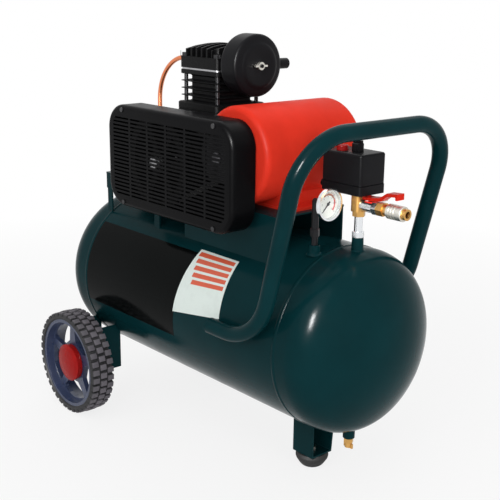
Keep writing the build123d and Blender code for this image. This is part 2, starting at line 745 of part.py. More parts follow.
with BuildPart() as cylinder:
    pot_layer(case_top, case_top + base_flange, base_half, 8)
    pot_layer(case_top, pot_top, barrel_half, 14)
    for h in fin_levels:
        pot_layer(case_top + h - fin_thick / 2, case_top + h + fin_thick / 2, pot_half, 6)
    pot_layer(pot_top - top_flange, pot_top, pot_half, 6)
    bar_z(spigot_radius, case_top - spigot_depth, case_top, crank_x, 0)
    bar_z(bore_radius + shaft_gap, case_top - spigot_depth, pot_top, crank_x, 0, Mode.SUBTRACT)
    for x, y in stud_spots:
        bar_z(stud_radius, case_top, pot_top, x, y, Mode.SUBTRACT)
cylinder.part.label = "cylinder"
export_step(cylinder.part, "parts/cylinder.step")

with BuildPart() as valve_plate:
    pot_layer(pot_top, head_z, pot_half - 1.5, 6)
    for x, y in stud_spots:
        bar_z(stud_radius, pot_top, head_z, x, y, Mode.SUBTRACT)
    with Locations(*[(crank_x + s * 12, 0, pot_top) for s in (-1, 1)]):
        Cylinder(4, 3 * plate_thick, mode=Mode.SUBTRACT)
valve_plate.part.label = "valve_plate"
export_step(valve_plate.part, "parts/valve_plate.step")

slab_top = head_z + head_slab
fin_pitch = (2 * pot_half - head_fin_thick) / (head_fins - 1)
fin_half = pot_half - 2
with BuildPart() as cylinder_head:
    # the fins are lower towards the ends and the sides, so the head is crowned both ways
    for i in range(head_fins):
        offset = (i - (head_fins - 1) / 2) * fin_pitch
        peak = head_z + head_crown - crown_drop * (offset / pot_half) ** 2
        with BuildSketch(Plane.YZ.offset(crank_x + offset)):
            with BuildLine():
                Polyline((-fin_half, peak - crown_drop), (-fin_half, slab_top - 2),
                         (fin_half, slab_top - 2), (fin_half, peak - crown_drop))
                ThreePointArc((fin_half, peak - crown_drop), (0, peak),
                              (-fin_half, peak - crown_drop))
            make_face()
        extrude(amount=head_fin_thick / 2, both=True)
    pot_layer(head_z, slab_top, pot_half, 6)
    # room round each bolt head, then the bolt holes
    for x, y in stud_spots:
        bar_z(9.5, slab_top, slab_top + 40, x, y, Mode.SUBTRACT)
        bar_z(stud_radius, head_z, slab_top, x, y, Mode.SUBTRACT)
    # port chambers in the underside
    for s in (-1, 1):
        block(crank_x + s * 14 - 10, crank_x + s * 14 + 10, -30, 30, head_z, head_z + 15.5,
              mode=Mode.SUBTRACT)
    # intake port on the right and delivery port on the left
    bar_x(7, crank_x + 20, crank_x + pot_half, 0, filter_z, Mode.SUBTRACT)
    bar_x(9, crank_x - pot_half - 4, crank_x - pot_half, pipe_y, pipe_port_z)
    bar_x(pipe_radius - 1, crank_x - pot_half - 4, crank_x - 20, pipe_y, pipe_port_z, Mode.SUBTRACT)
cylinder_head.part.label = "cylinder_head"
export_step(cylinder_head.part, "parts/cylinder_head.step")

# studs of the cylinder, bolts of pump foot, rear cover and motor foot, screws of the guard
motor_bolt_spots = [(motor_x + sx * 62.5, y) for sx in (-1, 1)
                    for y in (motor_foot_y0 + 12, motor_foot_y1 - 12)]
with BuildPart() as machine_bolts:
    hexagon(level(slab_top), stud_spots, 12, 6)
    for x, y in stud_spots:
        bar_z(stud_radius, case_top - 12, slab_top, x, y)
    hexagon(level(deck_top + foot_thick), foot_holes, 12, 5)
    for x, y in foot_holes:
        bar_z(stud_radius, deck_top, deck_top + foot_thick, x, y)
    hexagon(Plane(origin=(0, case_half_y + 5, 0), x_dir=(-1, 0, 0), z_dir=(0, 1, 0)),
            [(-x, z) for x, z in cover_holes], 8, 4)
    for x, z in cover_holes:
        bar_y(2.5, case_half_y - 8, case_half_y + 5, x, z)
    hexagon(level(deck_top + motor_foot_plate), motor_bolt_spots, 12, 5)
    for x, y in motor_bolt_spots:
        bar_z(stud_radius, deck_top, deck_top + motor_foot_plate, x, y)
    for x, z in guard_screw_spots:
        bar_y(4, guard_front_y - 1.6, guard_front_y, x, z)
    for x, z in standoffs:
        bar_y(5, deck_y0 + deck_plate, deck_y0 + deck_plate + 4, x, z)
machine_bolts.part.label = "machine_bolts"
export_step(machine_bolts.part, "parts/machine_bolts.step")

# ================================================================ intake filter
filter_mouth = filter_x + filter_depth
filter_wall = 2.5
filter_back = 4.5
with BuildPart() as filter_housing:
    bar_x(filter_radius, filter_x, filter_mouth, 0, filter_z)
    fillet(filter_housing.edges().group_by(Axis.X)[0], 9)
    bar_x(neck_radius, crank_x + pot_half, filter_x + 2, 0, filter_z)
    bar_x(filter_radius - filter_wall, filter_x + filter_back, filter_mouth, 0, filter_z,
          Mode.SUBTRACT)
    bar_x(neck_radius - 3, crank_x + pot_half, filter_x + filter_back, 0, filter_z, Mode.SUBTRACT)
    # inlet snorkel pointing away from the guard
    bar_y(snorkel_radius, filter_radius - 5, filter_radius + snorkel_reach, filter_mouth - 10, filter_z)
    bar_y(snorkel_radius - 2, filter_radius - 9, filter_radius + snorkel_reach, filter_mouth - 10,
          filter_z, Mode.SUBTRACT)
    # stud for the wing nut, on a bar across the neck
    block(filter_x + 1, filter_x + filter_back - 0.5, -neck_radius + 1, neck_radius - 1, filter_z - 2,
          filter_z + 2)
    bar_x(3, filter_x + 2, filter_mouth + cover_depth + 6, 0, filter_z)
filter_housing.part.label = "filter_housing"
export_step(filter_housing.part, "parts/filter_housing.step")

with BuildPart() as filter_cover:
    with BuildSketch(Plane.XZ):
        with BuildLine():
            Polyline((filter_mouth, filter_z), (filter_mouth, filter_z + filter_radius))
            Line((filter_mouth, filter_z + filter_radius), (filter_mouth + 4, filter_z + filter_radius))
            Spline((filter_mouth + 4, filter_z + filter_radius),
                   (filter_mouth + 10, filter_z + cover_radius),
                   (filter_mouth + cover_depth - 2, filter_z + cover_radius - 9),
                   (filter_mouth + cover_depth, filter_z + cover_radius - 16),
                   tangents=((1, 0), (0.05, -1)))
            Polyline((filter_mouth + cover_depth, filter_z + cover_radius - 16),
                     (filter_mouth + cover_depth - 2, filter_z + 12),
                     (filter_mouth + cover_depth - 2, filter_z), (filter_mouth, filter_z))
        make_face()
    revolve(axis=Axis((0, 0, filter_z), (1, 0, 0)))
    bar_x(cover_radius - 6, filter_mouth, filter_mouth + 8, 0, filter_z, Mode.SUBTRACT)
    bar_x(3, filter_mouth, filter_mouth + cover_depth + 2, 0, filter_z, Mode.SUBTRACT)
filter_cover.part.label = "filter_cover"
export_step(filter_cover.part, "parts/filter_cover.step")

with BuildPart() as filter_element:
    bar_x(38, filter_x + filter_back, filter_mouth + 8, 0, filter_z)
    bar_x(20, filter_x + filter_back, filter_mouth + 8, 0, filter_z, Mode.SUBTRACT)
filter_element.part.label = "filter_element"
export_step(filter_element.part, "parts/filter_element.step")

nut_x = filter_mouth + cover_depth - 2
with BuildPart() as filter_nut:
    bar_x(6.5, nut_x, nut_x + 6, 0, filter_z)
    block(nut_x + 1.5, nut_x + 6, -13, 13, filter_z - 1.5, filter_z + 1.5)
    bar_x(3, nut_x - 1, nut_x + 9, 0, filter_z, Mode.SUBTRACT)
filter_nut.part.label = "filter_nut"
export_step(filter_nut.part, "parts/filter_nut.step")

# ================================================================ delivery pipe
port_x = crank_x - pot_half - 4
check_top = check_seat + check_height
with BuildPart() as delivery_pipe:
    with BuildLine() as pipe_path:
        FilletPolyline((port_x, pipe_y, pipe_port_z), (check_x, pipe_y, pipe_port_z),
                       (check_x, pipe_y, check_top), radius=pipe_bend)
    with BuildSketch(Plane(origin=pipe_path.line @ 0, z_dir=pipe_path.line % 0)):
        Circle(pipe_radius)
        Circle(pipe_radius - 1, mode=Mode.SUBTRACT)
    sweep(path=pipe_path.line)
delivery_pipe.part.label = "delivery_pipe"
export_step(delivery_pipe.part, "parts/delivery_pipe.step")

# check valve on the tank and the two union nuts of the pipe
with BuildPart() as check_valve:
    bar_z(9, check_seat - 2, check_seat + 14, check_x, pipe_y)
    hexagon(level(check_seat + 14), [(check_x, pipe_y)], valve_hex, 40)
    bar_z(8, check_seat + 54, check_top, check_x, pipe_y)
    bar_y(3, pipe_y + 6, pipe_y + 20, check_x, check_seat + 65)
    hexagon(level(check_top), [(check_x, pipe_y)], 15, 12)
    hexagon(Plane(origin=(port_x, pipe_y, pipe_port_z), x_dir=(0, -1, 0), z_dir=(-1, 0, 0)),
            [(0, 0)], 15, 12)
    bar_z(pipe_radius - 1, check_seat - 2, check_top, check_x, pipe_y, Mode.SUBTRACT)
    bar_z(pipe_radius, check_top, check_top + 12, check_x, pipe_y, Mode.SUBTRACT)
    bar_x(pipe_radius, port_x - 12, port_x, pipe_y, pipe_port_z, Mode.SUBTRACT)
check_valve.part.label = "check_valve"
export_step(check_valve.part, "parts/check_valve.step")

# ================================================================ motor
cowl_inner = motor_radius - cowl_sheet
shield_front_y = motor_front_y + 10
shield_back_y = 60.0
shield_thick = 9.0
vent_count = 16
with BuildPart() as motor_cowl:
    bar_y(motor_radius, motor_front_y, motor_back_y, motor_x, motor_z)
    fillet(motor_cowl.faces().sort_by(Axis.Y)[-1].edges(), cowl_round)
    fillet(motor_cowl.faces().sort_by(Axis.Y)[0].edges(), 10)
    bar_y(cowl_inner, motor_front_y + 10, motor_back_y - cowl_round, motor_x, motor_z, Mode.SUBTRACT)
    bar_y(cowl_inner - 6, motor_back_y - cowl_round, motor_back_y - cowl_sheet,
          motor_x, motor_z, Mode.SUBTRACT)
    bar_y(cowl_opening, motor_front_y - 1, motor_front_y + 12, motor_x, motor_z, Mode.SUBTRACT)
    # air slots in the rear face
    with BuildSketch(facing(motor_back_y + 1)):
        with Locations((motor_x, motor_z)):
            with PolarLocations(33, vent_count):
                SlotOverall(26, 5)
    extrude(amount=6, mode=Mode.SUBTRACT)
motor_cowl.part.label = "motor_cowl"
export_step(motor_cowl.part, "parts/motor_cowl.step")

with BuildPart() as motor_end_shields:
    for y in (shield_front_y, shield_back_y):
        bar_y(cowl_inner, y, y + shield_thick, motor_x, motor_z)
    # bearing seats
    bar_y(22, shield_front_y + shield_thick, shield_front_y + 20, motor_x, motor_z)
    bar_y(22, shield_back_y - 6, shield_back_y, motor_x, motor_z)
    bar_y(motor_shaft_radius + shaft_gap, motor_front_y, motor_back_y, motor_x, motor_z,
          Mode.SUBTRACT)
motor_end_shields.part.label = "motor_end_shields"
export_step(motor_end_shields.part, "parts/motor_end_shields.step")

core_y0, core_y1 = -62.0, 22.0
with BuildPart() as motor_stator:
    bar_y(cowl_inner, core_y0, core_y1, motor_x, motor_z)
    bar_y(rotor_radius + 1, core_y0, core_y1, motor_x, motor_z, Mode.SUBTRACT)
    for y0, y1 in ((core_y0 - 12, core_y0), (core_y1, core_y1 + 12)):
        bar_y(66, y0, y1, motor_x, motor_z)
        bar_y(46, y0, y1, motor_x, motor_z, Mode.SUBTRACT)
motor_stator.part.label = "motor_stator"
export_step(motor_stator.part, "parts/motor_stator.step")

with BuildPart() as motor_rotor:
    bar_y(motor_shaft_radius, belt_y - 12, motor_back_y - 6, motor_x, motor_z)
    bar_y(rotor_radius, core_y0 + 1, core_y1 - 1, motor_x, motor_z)
motor_rotor.part.label = "motor_rotor"
export_step(motor_rotor.part, "parts/motor_rotor.step")

fan_y0 = shield_back_y + shield_thick + 3
with BuildPart() as motor_fan:
    bar_y(46, fan_y0, fan_y0 + 3, motor_x, motor_z)
    bar_y(16, fan_y0, fan_y0 + 18, motor_x, motor_z)
    with BuildSketch(facing(fan_y0 + 18)):
        with Locations((motor_x, motor_z)):
            with PolarLocations(0, 9):
                with Locations((30, 0)):
                    Rectangle(32, 3)
    extrude(amount=16)
    bar_y(motor_shaft_radius, fan_y0 - 1, fan_y0 + 20, motor_x, motor_z, Mode.SUBTRACT)
motor_fan.part.label = "motor_fan"
export_step(motor_fan.part, "parts/motor_fan.step")

with BuildPart() as motor_base:
    with BuildSketch(level(deck_top)):
        with Locations((motor_x, (motor_foot_y0 + motor_foot_y1) / 2)):
            RectangleRounded(2 * motor_radius, motor_foot_y1 - motor_foot_y0, 5)
        with Locations(*motor_bolt_spots):
            Circle(stud_radius, mode=Mode.SUBTRACT)
    extrude(amount=motor_foot_plate)
    for y in (motor_foot_y0 + 2, motor_foot_y1 - 8):
        block(motor_x - 50, motor_x + 50, y, y + 6, deck_top + motor_foot_plate, motor_z - 40)
    for s in (-1, 1):
        block(motor_x + s * 46 - 2, motor_x + s * 46 + 2, motor_foot_y0 + 2, motor_foot_y1 - 2,
              deck_top + motor_foot_plate, motor_z - 40)
    bar_y(motor_radius, motor_front_y, motor_back_y, motor_x, motor_z, Mode.SUBTRACT)
motor_base.part.label = "motor_base"
export_step(motor_base.part, "parts/motor_base.step")

# ================================================================ outlet fittings
nipple_low = tank_top + 6
with BuildPart() as riser_nipple:
    bar_z(pipe_thread_radius, nipple_low, manifold_z + 6, riser_x, 0)
    hexagon(level(tank_top + socket_height), [(riser_x, 0)], 17, bush_height)
    bar_z(4, nipple_low, manifold_z + 6, riser_x, 0, Mode.SUBTRACT)
riser_nipple.part.label = "riser_nipple"
export_step(riser_nipple.part, "parts/riser_nipple.step")

with BuildPart() as manifold:
    hexagon(level(manifold_z), [(riser_x, 0)], 18, manifold_hex)
    with BuildSketch(level(block_z)):
        with Locations((riser_x, 0)):
            RectangleRounded(2 * manifold_half_x, 2 * manifold_half_y, 4)
    extrude(amount=manifold_block)
    bar_z(pipe_thread_radius, manifold_z, manifold_z + 6, riser_x, 0, Mode.SUBTRACT)
    bar_z(4, manifold_z + 6, port_z, riser_x, 0, Mode.SUBTRACT)
    bar_x(4, riser_x, riser_x + manifold_half_x, 0, port_z, Mode.SUBTRACT)
    bar_y(4, 0, manifold_half_y, riser_x, port_z, Mode.SUBTRACT)
manifold.part.label = "manifold"
export_step(manifold.part, "parts/manifold.step")

switch_x0 = riser_x + switch_low_x
switch_x1 = riser_x + switch_high_x
switch_mid = ((switch_x0 + switch_x1) / 2, 0.0)
switch_len = switch_x1 - switch_x0
switch_top = switch_z + switch_height
gland_x = switch_x0
with BuildPart() as switch_base:
    with BuildSketch(level(switch_z)):
        with Locations(switch_mid):
            RectangleRounded(switch_len, 2 * switch_half_y, 5)
    extrude(amount=switch_base_height)
    # cable glands at the motor end
    for y in (-13, 13):
        bar_x(5.5, gland_x - 10, gland_x, y, switch_z + 7)
        bar_x(3, gland_x - 10, gland_x + 4, y, switch_z + 7, Mode.SUBTRACT)
switch_base.part.label = "switch_base"
export_step(switch_base.part, "parts/switch_base.step")

button_spot = (switch_x0 + 27, -11.0)
knob_spot = (switch_x0 + 51, -3.0)
button_radius = 9.0
knob_stem = 5.0
button_travel = 5.0
with BuildPart() as switch_cover:
    with BuildSketch(level(switch_z + switch_base_height)):
        with Locations(switch_mid):
            RectangleRounded(switch_len - 1, 2 * switch_half_y - 1, 5)
    extrude(amount=switch_height - switch_base_height)
    fillet(switch_cover.faces().sort_by(Axis.Z)[-1].edges(), 4)
    block(switch_x0 + 3, switch_x1 - 3, -switch_half_y + 3, switch_half_y - 3,
          switch_z + switch_base_height, switch_top - 3, mode=Mode.SUBTRACT)
    bar_z(button_radius + run_gap, switch_top - 10, switch_top + 1, *button_spot, Mode.SUBTRACT)
    bar_z(knob_stem + run_gap, switch_top - 10, switch_top + 1, *knob_spot, Mode.SUBTRACT)
switch_cover.part.label = "switch_cover"
export_step(switch_cover.part, "parts/switch_cover.step")

with BuildPart() as switch_button:
    bar_z(button_radius, switch_top - 8, switch_top + 8, *button_spot)
    fillet(switch_button.faces().sort_by(Axis.Z)[-1].edges(), 2)
    bar_z(button_radius + 3, switch_top - 8 - button_travel, switch_top - 4 - button_travel,
          *button_spot)
    bar_z(button_radius, switch_top - 5 - button_travel, switch_top - 7, *button_spot)
switch_button.part.label = "switch_button"
export_step(switch_button.part, "parts/switch_button.step")

with BuildPart() as switch_knob:
    bar_z(9, switch_top + run_gap, switch_top + 13, *knob_spot)
    fillet(switch_knob.faces().sort_by(Axis.Z)[-1].edges(), 2)
    block(knob_spot[0] - 8.6, knob_spot[0] + 8.6, knob_spot[1] - 2, knob_spot[1] + 2,
          switch_top + 11, switch_top + 17)
    bar_z(knob_stem, switch_top - 12, switch_top + 2, *knob_spot)
switch_knob.part.label = "switch_knob"
export_step(switch_knob.part, "parts/switch_knob.step")

# ---------------------------------------------------------------- gauge
gauge_back = gauge_x - gauge_depth
elbow_z = gauge_z
with BuildPart() as gauge_elbow:
    bar_z(5, gauge_seat + 2, elbow_z, gauge_elbow_x, gauge_y)
    hexagon(level(gauge_seat + 28), [(gauge_elbow_x, gauge_y)], 13, 12)
    bar_z(5.5, gauge_seat + 40, elbow_z, gauge_elbow_x, gauge_y)
    with Locations((gauge_elbow_x, gauge_y, elbow_z)):
        Sphere(5.5)
    bar_x(5.5, gauge_elbow_x, gauge_elbow_x + 8, gauge_y, elbow_z)
    bar_z(2.5, gauge_seat, elbow_z, gauge_elbow_x, gauge_y, Mode.SUBTRACT)
    bar_x(2.5, gauge_elbow_x, gauge_elbow_x + 8, gauge_y, elbow_z, Mode.SUBTRACT)
gauge_elbow.part.label = "gauge_elbow"
export_step(gauge_elbow.part, "parts/gauge_elbow.step")

dial_recess = 6.0
dial_x = gauge_x - dial_recess
bezel = 2.5
with BuildPart() as gauge_case:
    with BuildSketch(Plane.XZ.offset(-gauge_y)):
        with BuildLine():
            Polyline((gauge_elbow_x + 8, gauge_z), (gauge_elbow_x + 8, gauge_z + 5),
                     (gauge_back - 1, gauge_z + 7), (gauge_back + 3, gauge_z + gauge_radius - 4),
                     (gauge_back + 7, gauge_z + gauge_radius), (gauge_x, gauge_z + gauge_radius),
                     (gauge_x, gauge_z), close=True)
        make_face()
    revolve(axis=Axis((0, gauge_y, gauge_z), (1, 0, 0)))
    bar_x(gauge_radius - bezel, dial_x - 1.5, gauge_x, gauge_y, gauge_z, Mode.SUBTRACT)
    bar_x(1.5, dial_x - 2, dial_x - 1, gauge_y, gauge_z)
gauge_case.part.label = "gauge_case"
export_step(gauge_case.part, "parts/gauge_case.step")

needle_angle = 225.0         # stored at zero, lower left of the dial
with BuildPart() as gauge_needle:
    reach = gauge_radius - 8
    with BuildSketch(across(dial_x - 1 + run_gap)):
        with Locations((gauge_y, gauge_z)):
            Circle(2.5)
            Polygon((-5, -1.2), (reach, -0.4), (reach, 0.4), (-5, 1.2), rotation=needle_angle,
                    align=None)
    extrude(amount=0.8)
gauge_needle.part.label = "gauge_needle"
export_step(gauge_needle.part, "parts/gauge_needle.step")

with BuildPart() as gauge_lens:
    bar_x(gauge_radius - bezel, gauge_x - 3.5, gauge_x - 1.5, gauge_y, gauge_z)
gauge_lens.part.label = "gauge_lens"
export_step(gauge_lens.part, "parts/gauge_lens.step")

# ---------------------------------------------------------------- ball valve
valve_x0 = riser_x + manifold_half_x
valve_x1 = valve_x0 + valve_length
pivot_x = valve_x0 + 10
ball_radius = 6.0
stem_radius = 3.0
boss_top = port_z + 10
with BuildPart() as valve_body:
    bar_x(9.5, valve_x0, valve_x1 - 7, 0, port_z)
    end_plane = Plane(origin=(valve_x1 - 9, 0, port_z), x_dir=(0, 1, 0), z_dir=(1, 0, 0))
    hexagon(end_plane, [(0, 0)], 19, 9)
    bar_z(5, port_z, boss_top, pivot_x, 0)
    bar_x(4, valve_x0, valve_x1, 0, port_z, Mode.SUBTRACT)
    with Locations((pivot_x, 0, port_z)):
        Sphere(ball_radius + run_gap, mode=Mode.SUBTRACT)
    bar_z(stem_radius + shaft_gap, port_z, boss_top, pivot_x, 0, Mode.SUBTRACT)
valve_body.part.label = "valve_body"
export_step(valve_body.part, "parts/valve_body.step")

grip_length = 62.0
lever_width = 16.0
lever_thick = 5.0
lever_step = 2.6          # rise that still passes under the switch
with BuildPart() as valve_lever:
    with Locations((pivot_x, 0, port_z)):
        Sphere(ball_radius)
    bar_z(stem_radius, port_z, boss_top + lever_thick, pivot_x, 0)
    bar_x(4, pivot_x - 10, pivot_x + 10, 0, port_z, Mode.SUBTRACT)
    z0 = boss_top + run_gap
    with BuildSketch(facing(lever_width / 2)):
        with BuildLine():
            Polyline((pivot_x - 5, z0), (pivot_x + 9, z0), (pivot_x + 29.5, z0 + lever_step),
                     (pivot_x + 43, z0 + 12), (pivot_x + grip_length - 4, z0 + 13.5),
                     (pivot_x + grip_length - 3, z0 + 9), (pivot_x + grip_length, z0 + 9),
                     (pivot_x + grip_length, z0 + 18.5), (pivot_x + 42, z0 + 12 + lever_thick),
                     (pivot_x + 28.5, z0 + lever_step + lever_thick),
                     (pivot_x + 8, z0 + lever_thick), (pivot_x - 5, z0 + lever_thick),
                     close=True)
        make_face()
    extrude(amount=lever_width)
    hexagon(level(z0 + lever_thick), [(pivot_x, 0)], 8, 2.6)
valve_lever.part.label = "valve_lever"
export_step(valve_lever.part, "parts/valve_lever.step")

# ---------------------------------------------------------------- quick coupler
coupler_x1 = valve_x1 + coupler_length
sleeve_x0 = valve_x1 + 20
sleeve_x1 = coupler_x1 - 6
with BuildPart() as coupler_body:
    hexagon(Plane(origin=(valve_x1, 0, port_z), x_dir=(0, 1, 0), z_dir=(1, 0, 0)), [(0, 0)], 19, 12)
    bar_x(8.5, valve_x1 + 12, coupler_x1, 0, port_z)
    bar_x(coupler_bore, coupler_x1 - coupler_depth, coupler_x1, 0, port_z, Mode.SUBTRACT)
    bar_x(3.5, valve_x1, coupler_x1, 0, port_z, Mode.SUBTRACT)
coupler_body.part.label = "coupler_body"
export_step(coupler_body.part, "parts/coupler_body.step")

with BuildPart() as coupler_sleeve:
    bar_x(11.5, sleeve_x0, sleeve_x1, 0, port_z)
    chamfer(coupler_sleeve.edges().filter_by(GeomType.CIRCLE), 1)
    for x in (sleeve_x0 + 6, sleeve_x0 + 11, sleeve_x0 + 16):
        with BuildSketch(across(x)):
            with Locations((0, port_z)):
                Circle(13)
                Circle(10.8, mode=Mode.SUBTRACT)
        extrude(amount=2, mode=Mode.SUBTRACT)
    bar_x(8.5 + shaft_gap, sleeve_x0 - 1, sleeve_x1 + 1, 0, port_z, Mode.SUBTRACT)
coupler_sleeve.part.label = "coupler_sleeve"
export_step(coupler_sleeve.part, "parts/coupler_sleeve.step")

# ---------------------------------------------------------------- safety valve
relief_y0 = manifold_half_y
relief_y1 = relief_y0 + 26
with BuildPart() as safety_valve:
    hexagon(Plane(origin=(riser_x, relief_y0, port_z), x_dir=(1, 0, 0), z_dir=(0, 1, 0)),
            [(0, 0)], 14, 10)
    bar_y(6, relief_y0 + 10, relief_y1, riser_x, port_z)
    bar_y(2 + run_gap, relief_y0 + 12, relief_y1 + 1, riser_x, port_z, Mode.SUBTRACT)
safety_valve.part.label = "safety_valve"
export_step(safety_valve.part, "parts/safety_valve.step")

ring_mid_y = relief_y1 + 13
with BuildPart() as safety_ring:
    bar_y(2, relief_y0 + 13, relief_y1 + 5, riser_x, port_z)
    with Locations(Location((riser_x, ring_mid_y, port_z), (0, 0, 0))):
        Torus(9, 1.2)
safety_ring.part.label = "safety_ring"
export_step(safety_ring.part, "parts/safety_ring.step")

# ---------------------------------------------------------------- drain valve
drain_top = ground_clearance - 18
with BuildPart() as drain_valve:
    bar_z(5, drain_top, drain_top + 12, drain_x, 0)
    hexagon(level(drain_top - 8), [(drain_x, 0)], 14, 8)
    bar_z(2.5, drain_top - 8, drain_top + 12, drain_x, 0, Mode.SUBTRACT)
drain_valve.part.label = "drain_valve"
export_step(drain_valve.part, "parts/drain_valve.step")

knob_top = drain_top - 8 - run_gap
with BuildPart() as drain_knob:
    bar_z(6, knob_top - 8, knob_top, drain_x, 0)
    block(drain_x - 9, drain_x + 9, -1.5, 1.5, knob_top - 9, knob_top - 1)
    bar_z(2.5 - shaft_gap, knob_top - 1, drain_top + 6, drain_x, 0)
drain_knob.part.label = "drain_knob"
export_step(drain_knob.part, "parts/drain_knob.step")
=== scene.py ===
"""Looks of the belt-driven air compressor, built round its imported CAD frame.

+X runs along the receiver to the handle end, -Y is the belt guard side, +Z is up.
Lengths are metres; most are written as millimetres times MM.
"""

import json
import math

import bmesh
import bpy
from mathutils import Matrix, Vector

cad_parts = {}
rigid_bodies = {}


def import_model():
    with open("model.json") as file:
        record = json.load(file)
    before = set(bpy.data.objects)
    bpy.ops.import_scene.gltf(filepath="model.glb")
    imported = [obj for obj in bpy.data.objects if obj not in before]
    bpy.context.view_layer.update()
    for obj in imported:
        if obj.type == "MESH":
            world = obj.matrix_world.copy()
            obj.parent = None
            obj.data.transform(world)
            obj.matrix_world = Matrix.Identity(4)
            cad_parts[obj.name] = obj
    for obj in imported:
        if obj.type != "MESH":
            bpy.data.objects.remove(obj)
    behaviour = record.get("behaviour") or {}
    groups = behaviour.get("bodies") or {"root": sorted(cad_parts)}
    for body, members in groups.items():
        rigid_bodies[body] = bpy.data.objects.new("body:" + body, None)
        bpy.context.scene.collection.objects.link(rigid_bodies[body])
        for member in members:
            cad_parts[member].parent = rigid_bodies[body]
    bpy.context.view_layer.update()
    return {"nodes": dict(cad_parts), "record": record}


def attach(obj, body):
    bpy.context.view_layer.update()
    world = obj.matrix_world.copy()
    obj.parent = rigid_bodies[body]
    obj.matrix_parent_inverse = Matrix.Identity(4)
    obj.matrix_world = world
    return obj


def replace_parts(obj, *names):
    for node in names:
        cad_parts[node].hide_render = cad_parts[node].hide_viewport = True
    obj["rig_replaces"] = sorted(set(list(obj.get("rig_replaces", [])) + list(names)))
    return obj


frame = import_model()
record = frame["record"]
MM = 0.001
TURN = 2 * math.pi
ROOT = "frame_body"

# places and sizes that the frame's own boxes don't give
TANK_RADIUS = 150 * MM
TANK_AXIS_Z = 249 * MM
TANK_STRAIGHT = 285 * MM      # half of it, from the middle to where an end starts to curve
SEAM_X = 263 * MM
DOME_DEPTH = 90 * MM
KNUCKLE = 62 * MM
WHEEL = Vector((-243, 0, 98)) * MM
TYRE_Y = 189.5 * MM
PUMP_X = -43 * MM
PUMP_FOOT_Z = 572 * MM        # bolts above it belong to the pump
GUARD_Y = -100 * MM           # bolts in front of it belong to the belt guard
INTAKE_Z = 662 * MM
GAUGE = Vector((276, -48.5, 473.5)) * MM
DIAL_X = 268.5 * MM
LABEL_CORNERS = ((30, 48), (127, 48), (133, 10), (12, 3))
FILM_CORNERS = ((-262, 45), (27, 45), (9, -15), (-262, -15))

SLOT_OF = {row["node"]: row["material_slot"] for row in record["subparts"]}
BODY_OF = {node: body for body, nodes in record["behaviour"]["bodies"].items() for node in nodes}


# ---------------------------------------------------------------- shader maths
class Amount:
    """A number that changes over a surface, for plain arithmetic on its socket."""

    def __init__(self, shading, socket):
        self.shading = shading
        self.socket = socket

    def maths(self, operation, *values):
        sockets = dict(enumerate(values))
        return self.shading.amount("ShaderNodeMath", sockets, operation=operation)

    def __add__(self, other):
        return self.maths("ADD", self, other)

    def __sub__(self, other):
        return self.maths("SUBTRACT", self, other)

    def __rsub__(self, other):
        return self.maths("SUBTRACT", other, self)

    def __mul__(self, other):
        return self.maths("MULTIPLY", self, other)

    def __gt__(self, other):
        return self.maths("GREATER_THAN", self, other)

    def __lt__(self, other):
        return self.maths("LESS_THAN", self, other)

    def sine(self):
        return self.maths("SINE", self)

    def larger(self, other):
        return self.maths("MAXIMUM", self, other)

    def angle_from(self, other):
        """The angle, in radians, that this makes as a height over other."""
        return self.maths("ARCTAN2", self, other)

    def steps(self, low, high):
        """Runs from 0 at low to 1 at high, and is flat beyond them."""
        sockets = {"Value": self, "From Min": low, "From Max": high}
        return self.shading.amount("ShaderNodeMapRange", sockets, clamp=True)

    __radd__ = __add__
    __rmul__ = __mul__


class Shading:
    """The nodes of a material or of the world."""

    def __init__(self, tree):
        self.nodes = tree.nodes
        self.links = tree.links

    def node(self, kind, sockets, **settings):
        """Adds a node: its settings first, then the values or links of its sockets."""
        made = self.nodes.new(kind)
        for name, value in settings.items():
            setattr(made, name, value)
        for name, value in sockets.items():
            if isinstance(value, Amount):
                value = value.socket
            if isinstance(value, bpy.types.NodeSocket):
                self.links.new(value, made.inputs[name])
            else:
                made.inputs[name].default_value = value
        return made

    def amount(self, kind, sockets, output=0, **settings):
        return Amount(self, self.node(kind, sockets, **settings).outputs[output])

    def sees_white(self):
        """1 for a ray that looks, mirrors or passes through, 0 for one that only lights."""
        path = self.node("ShaderNodeLightPath", {}).outputs
        most = Amount(self, path["Is Camera Ray"])
        for kind in ("Is Glossy Ray", "Is Transmission Ray"):
            most = most.larger(path[kind])
        return most


